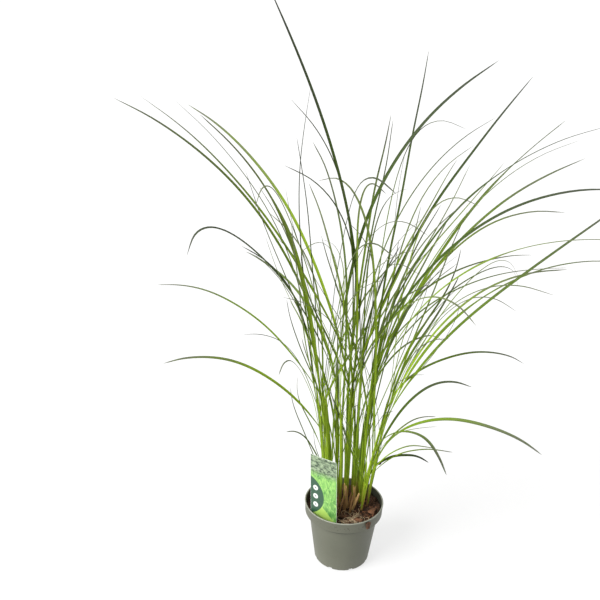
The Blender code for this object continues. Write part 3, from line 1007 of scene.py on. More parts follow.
class GRASS_OT_bark(bpy.types.Operator):
    """Make the larger chips of bark, and the crumb stuck outside the rim"""

    bl_idname = "grass.make_bark"
    bl_label = "Bark chips"

    def execute(self, context):
        mix = context.scene.grass_mix
        finish = bark_finish("chip_bark", mix, (420.0, 420.0, 160.0))
        for number, node in enumerate(BARK_NODES + ["rim_crumb"]):
            body = bmesh.new()
            body.from_mesh(frame["nodes"][node].data)
            bmesh.ops.remove_doubles(body, verts=body.verts, dist=10 * TINY)
            bmesh.ops.subdivide_edges(body, edges=body.edges, cuts=3, use_grid_fill=True)
            bmesh.ops.triangulate(body, faces=body.faces)
            bmesh.ops.subdivide_edges(body, edges=body.edges, cuts=1)
            bmesh.ops.recalc_face_normals(body, faces=body.faces)
            body.normal_update()
            middle = sum((vertex.co for vertex in body.verts), Vector()) / len(body.verts)
            growth = Vector((1.5, 1.3, 0.95)) if node == "rim_crumb" else Vector((1.1, 1.1, 1.1))
            for vertex in body.verts:
                vertex.co = middle + (vertex.co - middle) * growth
            moves = []
            for vertex in body.verts:
                rough = noise.fractal(vertex.co * 330.0, 0.8, 2.1, 4)
                groove = noise.noise(Vector((vertex.co.x * 150, vertex.co.y * 900, vertex.co.z * 500)))
                moves.append(vertex.normal * (rough * 0.9 + groove * 0.35) * MM)
            for vertex, move in zip(body.verts, moves):
                vertex.co += move
            mesh = mesh_from(body, node + "_rough")
            tidy_mesh(mesh, 60.0)
            store(mesh, "tint", [0.75 - 0.10 * (number % 4)] * len(mesh.vertices))
            mesh.materials.append(finish)
            settle(add_piece(node + "_rough", mesh), "bark", node)
        return {"FINISHED"}


def fibre_strand(middle, draw):
    """A short root fibre, curling on the surface of the mix."""
    place = Vector((middle[0] + draw.gauss(0, 0.9 * CM), middle[1] + draw.gauss(0, 0.45 * CM), 0.0))
    heading = draw.uniform(0.0, FULL_TURN)
    bend = draw.uniform(-0.55, 0.55)
    step = draw.uniform(1.0, 2.2) * MM
    half = draw.uniform(0.28, 0.55) * MM
    strand = Strand(draw.random())
    steps = 12
    lift = draw.uniform(0.6, 3.2) * MM
    for k in range(steps + 1):
        t = k / steps
        heading += bend + draw.uniform(-0.15, 0.15)
        place = place + level(heading) * step
        z = MIX_HIGH.z + 0.8 * MM + lift * math.sin(math.pi * t)
        limit = 52.0 * MM
        flat = Vector((place.x, place.y, 0.0))
        if flat.length > limit:
            flat = flat.normalized() * limit
        strand.add(Vector((flat.x, flat.y, z)), UP, half * (1.0 - 0.5 * t), t)
    return strand


def dry_finish(name, pale, dark, grain):
    """Dead, fibrous plant matter: pale ridges, brown grooves."""
    look = Finish(name, 0.72, 0.25)
    across = look.attribute("across")
    along = look.attribute("along")
    tint = look.attribute("tint")
    strand = look.add("ShaderNodeCombineXYZ", {0: look.sum("MULTIPLY", across, grain), 1: tint})
    fibre = look.noise(strand, 3.0, 4.0, 0.7)
    patch = look.noise(look.stretch(look.place, (90.0, 90.0, 40.0)), 1.0, 3.0)
    base = look.mix(look.span(fibre, 0.35, 0.65), dark, pale)
    base = look.mix(look.span(patch, 0.45, 0.7, 0.0, 0.45), base, dark)
    base = look.mix(look.span(tint, 0.0, 1.0, 0.0, 0.2), base, dark)
    look.colour(look.mix(look.span(along, 0.0, 0.3, 0.45, 0.0), base, (0.06, 0.03, 0.015)))
    look.relief(fibre, 0.3 * MM, 0.8)
    return look.material


class GRASS_OT_litter(bpy.types.Operator):
    """Make the pale root fibres lying on the mix"""

    bl_idname = "grass.make_litter"
    bl_label = "Root fibres"

    def execute(self, context):
        mix = context.scene.grass_mix
        draw = random.Random(8)
        middle = (1.6 * CM, -3.3 * CM)
        strands = [fibre_strand(middle, draw) for _ in range(mix.fibres)]
        strands += [fibre_strand((0.0, 0.0), draw) for _ in range(14)]
        strands += [fibre_strand((-2.0 * CM, 3.5 * CM), draw) for _ in range(10)]
        finish = dry_finish("root_fibre", mix.fibre, mix.brown, 2.0)
        settle(sweep("root_fibres", strands, "fibre", finish), "dry_straw")
        return {"FINISHED"}


# ---------------------------------------------------------------- label

# The print, in millimetres from the card's middle and up from the pot's underside
BAND_FOOT = 167.0
DISC_X, DISC_Z, DISC_RADIUS = -32.0, 128.0, 33.0
DOT_X, DOT_GAP, DOT_RADIUS = -12.8, 14.0, 4.1
CORNER_SUM = 112.0

# The card: the radius of its top corners, the height of its shoulders, rows and columns of points
CARD_CORNER = 2.5 * MM
CARD_SHOULDER = MIX_HIGH.z + 0.6 * MM
CARD_ROWS = 60
CARD_COLUMNS = 16
# How far its top curls back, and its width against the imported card
CARD_CURL = 1.2 * MM
CARD_BREADTH = 1.04


def card_frame():
    """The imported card's middle, direction, half width and height."""
    low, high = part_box("plant_label")
    middle = Vector(((low.x + high.x) / 2, (low.y + high.y) / 2, 0.0))
    run = Vector((high.x - low.x, low.y - high.y, 0.0))
    return middle, run.normalized(), run.length / 2, low.z, high.z


def card_half_width(height, half, low, high):
    """Half width of the card at a height: spike, shoulders, card, rounded top corners."""
    spike = 5.0 * MM
    if height < CARD_SHOULDER:
        return max(0.4 * MM, min(spike, height - low))
    if height > high - CARD_CORNER:
        rise = height - (high - CARD_CORNER)
        return half - CARD_CORNER + math.sqrt(max(CARD_CORNER ** 2 - rise ** 2, 0.0))
    return half


def card_heights(low, high):
    """Heights of the card's rows: spike, face, rounded top."""
    rows = [low + (CARD_SHOULDER - low) * k / 8 for k in range(8)] + [CARD_SHOULDER - 0.1 * MM]
    face = high - CARD_CORNER - CARD_SHOULDER
    rows += [CARD_SHOULDER + face * k / CARD_ROWS for k in range(CARD_ROWS + 1)]
    rows += [high - CARD_CORNER + CARD_CORNER * math.sin(math.radians(9 * k)) for k in range(1, 10)]
    return rows


def card_grid(body, label, face_side, spots):
    """Points of one face of the card, row by row; spots keeps each one's place in the print."""
    middle, across, half, low, high = card_frame()
    front = across.cross(UP)
    if front.y > 0:
        front = -front
    front_layer = body.verts.layers.float["front"]
    grid = []
    for height in card_heights(low, high):
        width = card_half_width(height, half, low, high)
        rise = max(0.0, (height - CARD_SHOULDER) / (high - CARD_SHOULDER))
        curl = CARD_CURL * rise ** 2
        row = []
        for k in range(CARD_COLUMNS + 1):
            u = (2 * k / CARD_COLUMNS - 1) * width / half
            bow = label.bow * (1 - u * u) - label.bow / 2 - curl
            aside = u * half * CARD_BREADTH - label.aside - label.lean * rise
            place = middle + across * aside + front * (bow + face_side * label.thickness / 2)
            vert = body.verts.new((place.x, place.y, height + label.lift * rise))
            vert[front_layer] = 1.0 if face_side == 1 else 0.0
            spots[vert] = (u / 2 + 0.5, height / high)
            row.append(vert)
        grid.append(row)
    return grid


def card_rim(grid):
    """Points round the edge of one face of the card."""
    left = [row[0] for row in grid]
    right = [row[-1] for row in reversed(grid[:-1])]
    return left + grid[-1][1:] + right + list(reversed(grid[0][1:-1]))


def label_finish(label, half, high):
    """Generic printed card: a mottled band, a field of grass, a dark disc with three plain dots."""
    look = Finish("printed_card", 0.32, 0.5)
    uv = look.add("ShaderNodeUVMap", uv_map="print")
    split = look.tree.nodes.new("ShaderNodeSeparateXYZ")
    feed(look.tree, split.inputs[0], uv)
    x = look.span(split.outputs[0], 0.0, 1.0, -half / MM, half / MM)
    z = look.span(split.outputs[1], 0.0, 1.0, 0.0, high / MM)
    card = look.add("ShaderNodeCombineXYZ", {0: x, 1: z})
    lean = look.add("ShaderNodeMapping", {"Vector": card, "Rotation": (0, 0, 0.5), "Scale": (0.34, 0.12, 1)})
    blades = look.noise(lean, 1.0, 4.0, 0.7, 1.2)
    lean = look.add("ShaderNodeMapping", {"Vector": card, "Rotation": (0, 0, -0.6), "Scale": (0.30, 0.10, 1)})
    crossed = look.noise(lean, 1.0, 3.0, 0.65, 1.0)
    field = look.mix(look.span(blades, 0.42, 0.50), label.deep, label.middle)
    field = look.mix(look.span(crossed, 0.50, 0.58), field, label.light)
    clump = look.span(look.noise(card, 0.06, 2.0), 0.42, 0.62)
    field = look.mix(look.sum("MULTIPLY", clump, 0.4), field, label.light)
    shade = look.span(look.sum("SUBTRACT", z, look.sum("MULTIPLY", x, 1.2)), 90.0, 128.0, 0.75, 0.0)
    field = look.mix(look.sum("MULTIPLY", shade, look.span(crossed, 0.62, 0.4)), field, label.deep)
    patches = look.noise(look.stretch(card, (0.16, 0.3, 1)), 1.0, 3.0, 0.7)
    band = look.mix(look.span(patches, 0.42, 0.58), (0.05, 0.08, 0.045), (0.30, 0.39, 0.24))
    in_band = look.span(z, BAND_FOOT - 6.0, BAND_FOOT + 5.0)
    field = look.mix(in_band, field, band)
    corner = look.sum("LESS_THAN", look.sum("ADD", x, z), CORNER_SUM)
    field = look.mix(corner, field, label.corner)
    dx, dz = look.sum("SUBTRACT", x, DISC_X), look.sum("SUBTRACT", z, DISC_Z)
    away = look.sum("SQRT", look.sum("MULTIPLY_ADD", dx, dx, look.sum("MULTIPLY", dz, dz)))
    disc = look.span(away, DISC_RADIUS - 0.2, DISC_RADIUS + 0.2, 1.0, 0.0)
    field = look.mix(disc, field, label.disc)
    row = look.sum("WRAP", dz, DOT_GAP / 2, -DOT_GAP / 2)
    near = look.sum("LESS_THAN", look.sum("ABSOLUTE", dz), DOT_GAP * 1.5)
    dx = look.sum("SUBTRACT", x, DOT_X)
    away = look.sum("SQRT", look.sum("MULTIPLY_ADD", dx, dx, look.sum("MULTIPLY", row, row)))
    dot = look.sum("MULTIPLY", look.span(away, DOT_RADIUS - 0.2, DOT_RADIUS + 0.2, 1.0, 0.0), near)
    field = look.mix(dot, field, label.paper)
    core = look.sum("MULTIPLY", look.span(away, 1.1, 1.5, 1.0, 0.0), near)
    field = look.mix(core, field, (0.16, 0.20, 0.17))
    side = look.sum("GREATER_THAN", look.sum("ABSOLUTE", x), half / MM - 0.2)
    top = look.sum("GREATER_THAN", z, high / MM - 0.5)
    field = look.mix(look.sum("MAXIMUM", side, top), field, label.paper)
    buried = look.sum("LESS_THAN", z, MIX_HIGH.z / MM)
    field = look.mix(buried, field, label.paper)
    back = look.sum("SUBTRACT", 1.0, look.attribute("front"))
    fleck = look.noise(card, 1.4, 3.0)
    plain = look.mix(look.span(fleck, 0.4, 0.7, 0.0, 0.12), label.paper, (0.50, 0.52, 0.46))
    stripe = look.sum("GREATER_THAN", z, BAND_FOOT)
    plain = look.mix(look.sum("MULTIPLY", stripe, 0.85), plain, label.middle)
    look.colour(look.mix(back, field, plain))
    look.roughness(look.span(look.noise(card, 0.25, 2.0), 0.3, 0.7, 0.26, 0.40))
    return look.material


class GRASS_OT_label(bpy.types.Operator):
    """Make the stick-in label, a thin bowed card with a generic print and no lettering"""

    bl_idname = "grass.make_label"
    bl_label = "Label"

    def execute(self, context):
        label = context.scene.grass_label
        _, _, half, _, high = card_frame()
        body = bmesh.new()
        uv_layer = body.loops.layers.uv.new("print")
        body.verts.layers.float.new("front")
        spots = {}
        grids = [card_grid(body, label, face_side, spots) for face_side in (1, -1)]
        for grid in grids:
            for low_row, high_row in zip(grid, grid[1:]):
                for k in range(CARD_COLUMNS):
                    body.faces.new((low_row[k], low_row[k + 1], high_row[k + 1], high_row[k]))
        ahead, behind = (card_rim(grid) for grid in grids)
        for k in range(len(ahead)):
            follow = (k + 1) % len(ahead)
            body.faces.new((ahead[k], ahead[follow], behind[follow], behind[k]))
        for face in body.faces:
            for loop in face.loops:
                loop[uv_layer].uv = spots[loop.vert]
        bmesh.ops.recalc_face_normals(body, faces=body.faces)
        mesh = mesh_from(body, "printed_label")
        for face in mesh.polygons:
            face.use_smooth = True
        mesh.set_sharp_from_angle(angle=math.radians(40.0))
        mesh.materials.append(label_finish(label, half, high))
        settle(add_piece("printed_label", mesh), "label_card", "plant_label")
        return {"FINISHED"}


# ---------------------------------------------------------------- grass


def blade_finish(grass):
    """Living leaf: pale sheath, green blade, greying tip, pale rib and fine veins."""
    look = Finish("grass_blade", 0.5, 0.22)
    along = look.attribute("along")
    across = look.attribute("across")
    tint = look.attribute("tint")
    # Paler and brighter towards the foot: partly the leaves' own colour, partly painted light for light that
    # shines through the lower leaves.
    base = look.mix(look.span(along, -0.10, 0.35), grass.young, grass.fresh)
    base = look.mix(look.span(along, 0.15, 0.75), base, grass.mature)
    mottle = look.noise(look.place, 28.0, 3.0, 0.6)
    # Dark and pale copies of the blade colour, chosen by tint: partly the leaves' own tones, partly painted
    # shade on the dark ones and painted highlight on the pale ones.
    pale = look.mix(look.span(along, 0.2, 0.7, 0.85, 0.45), base, (0.39, 0.56, 0.022))
    dark = look.mix(0.82, base, (0.018, 0.042, 0.004))
    base = look.mix(look.span(tint, 0.08, 0.36), dark, base)
    base = look.mix(look.span(tint, 0.6, 1.0), base, pale)
    vein = look.sum("SINE", look.sum("MULTIPLY", across, 34.0))
    base = look.mix(look.span(vein, -1.0, 1.0, 0.0, 0.16), base, (0.04, 0.08, 0.008))
    plainness = look.span(tint, 0.1, 0.4, 0.2, 1.0)
    rib = look.span(look.sum("ABSOLUTE", across), 0.05, 0.15, 0.5, 0.0)
    base = look.mix(look.sum("MULTIPLY", rib, plainness), base, grass.rib)
    edge = look.span(look.sum("ABSOLUTE", across), 0.8, 1.0, 0.0, 0.35)
    base = look.mix(edge, base, (0.04, 0.075, 0.008))
    blotch = look.sum("MULTIPLY", look.span(mottle, 0.35, 0.7, 0.0, 0.22), plainness)
    base = look.mix(blotch, base, (0.22, 0.31, 0.02))
    ageing = look.sum("ADD", along, look.span(mottle, 0.3, 0.7, -0.10, 0.10))
    withered = look.mix(plainness, (0.030, 0.034, 0.026), grass.tip)
    look.colour(look.mix(look.span(ageing, 0.5, 1.0, 0.0, 0.9), base, withered))
    look.relief(vein, 0.06 * MM, 0.6)
    return look.material


def shoot_finish(grass):
    """Clasping sheaths: yellow-green with long pale and dark ribs, brown at the foot."""
    look = Finish("grass_shoot", 0.5, 0.22)
    across = look.attribute("across")
    tint = look.attribute("tint")
    height = look.add("ShaderNodeSeparateXYZ", {0: look.place}, output=2)
    lines = look.add("ShaderNodeCombineXYZ", {0: look.sum("MULTIPLY", across, 22.0), 1: height, 2: tint})
    rib = look.noise(lines, 1.0, 3.0, 0.6)
    # The young colour carries painted light shining through the sheaths as well as their own colour.
    base = look.mix(look.span(rib, 0.35, 0.68), (0.135, 0.230, 0.006), grass.young)
    base = look.mix(look.span(rib, 0.58, 0.75, 0.0, 0.7), base, (0.40, 0.53, 0.07))
    # Darker and paler sheaths, chosen by tint: partly their own tones, partly painted shade in the gaps
    # between them and painted highlights on the lit ones.
    base = look.mix(look.span(tint, 0.0, 0.4, 0.65, 0.0), base, (0.060, 0.110, 0.004))
    base = look.mix(look.span(tint, 0.6, 1.0, 0.0, 0.7), base, (0.46, 0.62, 0.04))
    patch = look.noise(look.stretch(look.place, (60.0, 60.0, 12.0)), 1.0, 3.0)
    base = look.mix(look.span(patch, 0.45, 0.75, 0.0, 0.5), base, (0.26, 0.36, 0.02))
    foot = look.span(height, MIX_HIGH.z + 12 * MM, MIX_HIGH.z + 48 * MM, 1.0, 0.0)
    foot = look.sum("MULTIPLY", foot, look.span(patch, 0.3, 0.6, 0.55, 1.0))
    look.colour(look.mix(foot, base, (0.32, 0.20, 0.055)))
    look.relief(rib, 0.3 * MM, 0.7)
    return look.material


class Clump:
    """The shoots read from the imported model, and the finish its leaves share."""

    shoots = []
    blade = None

    @classmethod
    def read(cls, grass):
        """Read the shoots and make the leaf finish once."""
        if not cls.shoots:
            cls.shoots = [Shoot(node) for node in SHOOT_NODES]
            cls.blade = blade_finish(grass)


def shoot_strand(shoot, draw, fan, shift, girth, top):
    """A sheath up a shoot, standing aside from its axis in the shoot's fan."""
    facing = UP.cross(fan)
    depth = draw.uniform(-0.45, 0.45)
    phase = draw.uniform(0.0, FULL_TURN)
    strand = Strand(draw.random())
    steps = 26
    foot = shoot.foot - 3 * MM
    for k in range(steps + 1):
        t = k / steps
        height = foot + (shoot.head * top - foot) * t
        axis, radius = shoot.at(max(height, shoot.foot))
        place = Vector((axis.x, axis.y, height))
        place += fan * (0.4 * MM * math.sin(5 * t + phase) + shift * radius * (0.55 + 1.35 * t))
        place += facing * depth * radius
        fade = 1.0 - 0.8 * max(0.0, (t - 0.82) / 0.18) ** 1.5
        fade *= 0.52 + 0.48 * min(1.0, 4.0 * t)
        strand.add(place, facing, radius * girth * fade, t)
    return strand


class GRASS_OT_shoots(bpy.types.Operator):
    """Make each shoot as a fan of ribbed sheaths of unequal length, the middle one longest"""

    bl_idname = "grass.make_shoots"
    bl_label = "Shoots"

    def execute(self, context):
        grass = context.scene.grass_clump
        Clump.read(grass)
        finish = shoot_finish(grass)
        draw = random.Random(31)
        for node, shoot in zip(SHOOT_NODES, Clump.shoots):
            turn = math.radians(draw.uniform(-50, 50))
            fan = level(turn)
            slender = SLENDER if shoot.at(shoot.head)[0].x > SLENDER_FROM else 1.0
            strands = [shoot_strand(shoot, draw, fan, 0.0, 0.76 * slender, 1.0)]
            for shift in (-1.0, -0.55, 0.5, 1.05):
                girth = slender * draw.uniform(0.34, 0.60)
                strands.append(shoot_strand(shoot, draw, fan, shift, girth, draw.uniform(0.5, 1.0)))
            piece = sweep(node + "_sheaths", strands, "shoot", finish)
            settle(piece, "shoot_green", node)
        return {"FINISHED"}


def nearest_shoot(place):
    """The shoot that a leaf leaves."""
    reaching = [shoot for shoot in Clump.shoots if shoot.head > place.z - 5 * MM]
    return min(reaching, key=lambda shoot: (shoot.at(place.z)[0] - place).length)


class GRASS_OT_leaves(bpy.types.Operator):
    """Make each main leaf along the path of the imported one"""

    bl_idname = "grass.make_leaves"
    bl_label = "Main leaves"

    def execute(self, context):
        grass = context.scene.grass_clump
        Clump.read(grass)
        draw = random.Random(17)
        for node in LEAF_NODES:
            rings = node_rings(node)
            places = [middle for middle, _ in rings]
            tint, breadth, broad = LEAF_TRAITS.get(node, (draw.random(), 1.0, 1.0))
            widest = max(half for _, half in rings) * grass.breadth * breadth
            halves = []
            for k in range(len(rings)):
                t = k / (len(rings) - 1)
                halves.append(widest * leaf_width(t) * (1.0 if t < broad else 0.5))
            strand = leaf_strand(places, halves, nearest_shoot(places[0]), draw, grass)
            strand.tint = tint
            piece = sweep(node + "_blade", [strand], "blade", Clump.blade, grass.keel, grass.thickness)
            settle(piece, "leaf_green", node)
        return {"FINISHED"}


def leaf_spine(reach, rise, lean, climb):
    """Points along an arching leaf in its own upright plane, as a cubic curve."""
    end = Vector((reach, 0.0, rise))
    first = Vector((math.sin(lean), 0.0, math.cos(lean)))
    last = Vector((math.cos(climb), 0.0, math.sin(climb)))
    pull = first * end.length * START_PULL
    hold = end - last * end.length * END_PULL
    points = []
    for index in range(SPINE_POINTS):
        t = index / (SPINE_POINTS - 1)
        points.append(3 * t * (1 - t) ** 2 * pull + 3 * t * t * (1 - t) * hold + t ** 3 * end)
    return points


def leaf_width(t):
    """Share of a leaf's full width at t along it."""
    if t < WIDEST_AT:
        return START_SHARE + (1.0 - START_SHARE) * math.sin(t / WIDEST_AT * math.pi / 2)
    return 1.0 + (TIP_SHARE - 1.0) * ((t - WIDEST_AT) / (1.0 - WIDEST_AT)) ** 2.6


def filler_rows():
    """Thin leaves drawn at random between the others, in the same form as FINE_LEAVES."""
    draw = random.Random(FILLER_SEED)
    rows = []
    for _ in range(FILLER_COUNT):
        number = draw.choice(FILLER_SHOOTS)
        leftward = draw.random() < (0.4 if number <= 8 else 0.15)
        heading = draw.gauss(185, 38) if leftward else draw.gauss(0, 40)
        height = draw.uniform(12, 28)
        tip_height = draw.uniform(height + 14 if number < 9 else 44, 64)
        crossing = leftward != (number <= 4)
        steepest = 0.03 + 0.004 * max(0.0, tip_height - 30)
        widest = 0.30 if crossing else 0.10 + steepest
        reach = draw.uniform(2, 6) + (tip_height - height) * draw.uniform(steepest, widest)
        climb = draw.choice(FILLER_CLIMBS)
        lean = draw.uniform(1, 10)
        rows.append((number, height, heading, reach, tip_height, lean, climb, draw.uniform(1.1, 1.8)))
    for _ in range(LOW_COUNT):
        number = draw.randint(1, 13)
        rise = draw.uniform(8, 20)
        height = draw.uniform(11, 17)
        heading = draw.choice(LOW_HEADINGS) + draw.gauss(0, 20)
        reach = rise * draw.uniform(0.2, 0.6)
        lean = draw.uniform(8, 30)
        climb = draw.choice(LOW_CLIMBS)
        rows.append((number, height, heading, reach, 14 + rise, lean, climb, draw.uniform(0.8, 1.3)))
    return rows


class GRASS_OT_fine_leaves(bpy.types.Operator):
    """Make the many finer leaves between the main ones, one piece for each shoot"""

    bl_idname = "grass.make_fine_leaves"
    bl_label = "Fine leaves"

    def execute(self, context):
        grass = context.scene.grass_clump
        Clump.read(grass)
        draw = random.Random(29)
        strands = {number: [] for number in range(1, len(SHOOT_NODES) + 1)}
        for row in FINE_LEAVES + filler_rows():
            number, height, heading, reach, tip_height, lean, climb, half = row
            shoot = Clump.shoots[number - 1]
            out = level(math.radians(heading))
            axis, radius = shoot.at(height * CM)
            spine = leaf_spine(
                reach * CM, (tip_height - height) * CM, math.radians(lean), math.radians(climb)
            )
            start = axis + out * radius * 0.9
            places = [start + out * point.x + UP * point.z for point in spine]
            halves = [half * MM * leaf_width(k / (SPINE_POINTS - 1)) for k in range(SPINE_POINTS)]
            strand = leaf_strand(places, halves, shoot, draw, grass, 3)
            strand.tint = strand.tint ** FINE_TINT_POWER
            strands[number].append(strand)
        for number, group in strands.items():
            if group:
                name = f"fine_leaves_{number:02d}"
                piece = sweep(name, group, "blade", Clump.blade, grass.keel, grass.thickness)
                settle(piece, "leaf_green")
        return {"FINISHED"}


# ---------------------------------------------------------------- dry stems

# Dead sheaths round the feet of the shoots. Each: foot x, y; head x, y, height (cm);
# half width (mm)
HUSKS = [
    (-0.8, -2.9, 0.1, -2.2, 13.6, 1.1),
    (1.0, -2.0, 1.3, -1.7, 13.0, 2.0),
    (0.2, -1.8, 0.3, -1.3, 13.4, 1.8),
    (-1.0, -1.9, -0.8, -1.5, 12.6, 1.6),
    (0.9, -0.5, 1.0, -1.0, 12.6, 2.8),
    (0.1, -0.9, -0.1, -1.5, 12.0, 2.2),
    (-0.6, -0.6, -0.9, -1.3, 11.6, 2.0),
    (1.7, -0.2, 2.3, -0.5, 11.8, 1.8),
    (-1.8, -0.8, -2.2, -1.4, 11.4, 1.8),
    (2.4, 0.6, 3.0, 0.4, 11.2, 1.6),
    (0.6, 2.8, 0.3, 3.6, 11.8, 1.8),
    (-1.6, 2.4, -2.2, 3.2, 11.4, 1.8),
]
# They curl away from the middle of the clump, by so much at their tips (mm)
CLUMP_MIDDLE = Vector((0.5 * CM, 0.8 * CM, 0.0))
HUSK_CURL = 2.5

# The withered joint: the leaf it is on; share of the way between two of its rings, half width (mm)
JOINT_LEAF = "leaf_37"
JOINT_SHAPE = ((0.35, 1.2), (0.42, 2.4), (0.50, 2.7), (0.58, 2.3), (0.65, 1.0))


def stub_strands(foot, head, half, draw):
    """A cut stem as a core with a few split strips beside it."""
    strands = []
    for index in range(4):
        turn = FULL_TURN * (index / 3 + draw.uniform(0, 0.2))
        facing = level(turn)
        shift = facing * half * (0.45 if index else 0.0)
        top = 1.0 if index == 0 else draw.uniform(0.72, 1.12)
        girth = 0.85 if index == 0 else draw.uniform(0.4, 0.6)
        strand = Strand(draw.random())
        steps = 10
        for k in range(steps + 1):
            t = k / steps
            curl = shift * (1.0 + 0.7 * t * t)
            strand.add(foot.lerp(head, t * top) + curl, facing, half * girth * (1.0 - 0.25 * t), t)
        strands.append(strand)
    return strands


def husk_strand(foot, head, half, tint):
    """A dead sheath, curling outwards from the middle of the clump and ending in a point."""
    out = (head * Vector((1, 1, 0)) - CLUMP_MIDDLE).normalized()
    strand = Strand(tint)
    steps = 12
    for k in range(steps + 1):
        t = k / steps
        place = foot.lerp(head, t) + out * HUSK_CURL * MM * t * t
        strand.add(place, -out, half * (1.0 - 0.85 * t ** 2.2), t)
    return strand


def joint_strand(node):
    """The withered joint, a short swelling near the foot of a leaf."""
    near, far = (node_rings(node)[k][0] for k in (1, 3))
    joint = Strand(0.5)
    for part, half in JOINT_SHAPE:
        joint.add(near.lerp(far, part), UP, half * MM, part)
    return joint


class GRASS_OT_dry_stems(bpy.types.Operator):
    """Make last year's cut stubs, the dead sheaths round the shoots and one withered leaf joint"""

    bl_idname = "grass.make_dry_stems"
    bl_label = "Dry stems"

    def execute(self, context):
        dry = context.scene.grass_dry
        draw = random.Random(41)
        straw = dry_finish("bleached_straw", dry.straw, (0.52, 0.29, 0.10), 9.0)
        for node in STUB_NODES:
            (foot, half), (head, _) = node_rings(node)[0], node_rings(node)[-1]
            half *= 1.2
            strands = stub_strands(foot - UP * 3 * MM, head, half, draw)
            piece = sweep(node + "_split", strands, "shoot", straw)
            settle(piece, "dry_straw", node)
        husks = []
        for foot_x, foot_y, head_x, head_y, head_height, half in HUSKS:
            foot = Vector((foot_x * CM, foot_y * CM, MIX_HIGH.z - 3 * MM))
            head = Vector((head_x * CM, head_y * CM, head_height * CM))
            husks.append(husk_strand(foot, head, half * MM, draw.random()))
        husk = dry_finish("dead_sheath", dry.husk, (0.09, 0.045, 0.02), 6.0)
        settle(sweep("dead_sheaths", husks, "blade", husk, 0.75, 0.10), "dry_straw")
        black = dry_finish("withered_joint", (0.05, 0.035, 0.02), (0.012, 0.009, 0.006), 6.0)
        settle(sweep("withered_joint", [joint_strand(JOINT_LEAF)], "shoot", black), "dry_straw")
        return {"FINISHED"}


# ---------------------------------------------------------------- stage


def make_floor(stage):
    """A wide pale floor that glows a little, so that it reads as white."""
    body = bmesh.new()
    bmesh.ops.create_circle(body, cap_ends=True, segments=96, radius=30.0)
    floor = add_piece("studio_floor", mesh_from(body, "studio_floor"))
    look = Finish("pale_floor", 0.9, 0.1)
    look.colour(tuple(stage.floor))
    look.shader.inputs["Emission Color"].default_value = (1.0, 1.0, 1.0, 1.0)
    look.shader.inputs["Emission Strength"].default_value = stage.glow
    floor.data.materials.append(look.material)
    return floor


def make_sky(stage):
    """A white world: bright at the horizon, and brighter low on the left than on the right."""
    world = bpy.data.worlds.new("studio_light")
    world.use_nodes = True
    sky = Graph(world.node_tree)
    direction = sky.add("ShaderNodeTexCoord", output=0)
    climb = sky.add("ShaderNodeSeparateXYZ", {0: direction}, output=2)
    sideways = sky.add("ShaderNodeSeparateXYZ", {0: direction}, output=0)
    low_sky = sky.span(sideways, -0.7, 0.6, 0.95, 0.03)
    strength = sky.span(climb, 0.20, 0.45, low_sky, stage.sky)
    strength = sky.span(climb, 0.09, 0.13, 0.97, strength)
    background = world.node_tree.nodes["Background"]
    feed(world.node_tree, background.inputs["Strength"], strength)
    background.inputs["Color"].default_value = (1.0, 1.0, 1.0, 1.0)
    return world


def make_lamp(name, strength, spread, source):
    """A distant lamp that shines from a direction, with its spread in degrees."""
    lamp = bpy.data.lights.new(name, "SUN")
    lamp.energy = strength
    lamp.angle = math.radians(spread)
    light = bpy.data.objects.new(name, lamp)
    light.rotation_euler = Vector(source).to_track_quat("Z", "Y").to_euler()
    bpy.context.scene.collection.objects.link(light)


def make_camera(stage):
    """The camera, looking down at the clump from the label's side."""
    view = bpy.data.cameras.new("studio_camera")
    view.lens = stage.lens
    view.sensor_width = SENSOR_WIDTH
    camera = bpy.data.objects.new("studio_camera", view)
    turn = Matrix.Rotation(math.radians(CAMERA_PAN), 4, "Z")
    tilt = Matrix.Rotation(math.radians(90.0 - CAMERA_PITCH), 4, "X")
    roll = Matrix.Rotation(math.radians(CAMERA_ROLL), 4, "Z")
    camera.matrix_world = Matrix.Translation(CAMERA_PLACE) @ turn @ tilt @ roll
    bpy.context.scene.collection.objects.link(camera)
    return camera


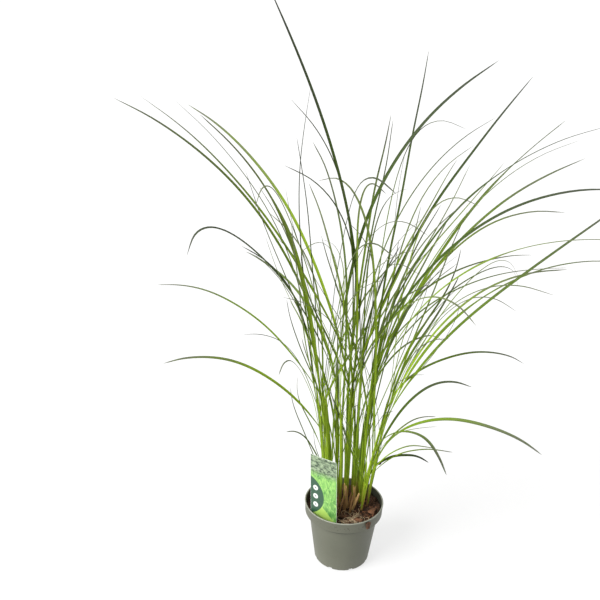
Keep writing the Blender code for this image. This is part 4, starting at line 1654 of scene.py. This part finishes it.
class GRASS_OT_stage(bpy.types.Operator):
    """Make the floor, the soft light and the camera"""

    bl_idname = "grass.make_stage"
    bl_label = "Stage"

    def execute(self, context):
        stage = context.scene.grass_stage
        make_floor(stage)
        context.scene.world = make_sky(stage)
        make_lamp("key_light", stage.key, 40.0, (-0.73, -0.58, 0.70))
        make_lamp("back_light", stage.key * 0.12, 60.0, (0.0, 0.8, 0.9))
        context.scene.camera = make_camera(stage)
        context.scene.view_settings.view_transform = "Standard"
        return {"FINISHED"}


# ---------------------------------------------------------------- add-on

OPERATORS = (
    GRASS_OT_pot,
    GRASS_OT_mix,
    GRASS_OT_bark,
    GRASS_OT_litter,
    GRASS_OT_label,
    GRASS_OT_shoots,
    GRASS_OT_leaves,
    GRASS_OT_fine_leaves,
    GRASS_OT_dry_stems,
    GRASS_OT_stage,
)

SETTINGS = {
    "grass_pot": PotSettings,
    "grass_mix": MixSettings,
    "grass_label": LabelSettings,
    "grass_clump": GrassSettings,
    "grass_dry": DrySettings,
    "grass_stage": StageSettings,
}


class GRASS_PT_panel(bpy.types.Panel):
    """Lists the pieces of the clump and their settings"""

    bl_label = "Potted grass clump"
    bl_idname = "GRASS_PT_panel"
    bl_space_type = "VIEW_3D"
    bl_region_type = "UI"
    bl_category = "Grass"

    def draw(self, context):
        for operator in OPERATORS:
            self.layout.operator(operator.bl_idname)
        for name in SETTINGS:
            group = getattr(context.scene, name)
            box = self.layout.box()
            for label in group.__annotations__:
                box.prop(group, label)


def register():
    """Add the settings, the operators and the panel to Blender."""
    for name, group in SETTINGS.items():
        bpy.utils.register_class(group)
        setattr(bpy.types.Scene, name, PointerProperty(type=group))
    for kind in (*OPERATORS, GRASS_PT_panel):
        bpy.utils.register_class(kind)


def unregister():
    """Take them out again."""
    for kind in (GRASS_PT_panel, *reversed(OPERATORS)):
        bpy.utils.unregister_class(kind)
    for name, group in SETTINGS.items():
        delattr(bpy.types.Scene, name)
        bpy.utils.unregister_class(group)


def main():
    """Make every piece in order."""
    register()
    for operator in OPERATORS:
        family, step = operator.bl_idname.split(".")
        getattr(getattr(bpy.ops, family), step)()
    for section in Loom.sections.values():
        bpy.data.objects.remove(section)


if __name__ == "__main__":
    main()
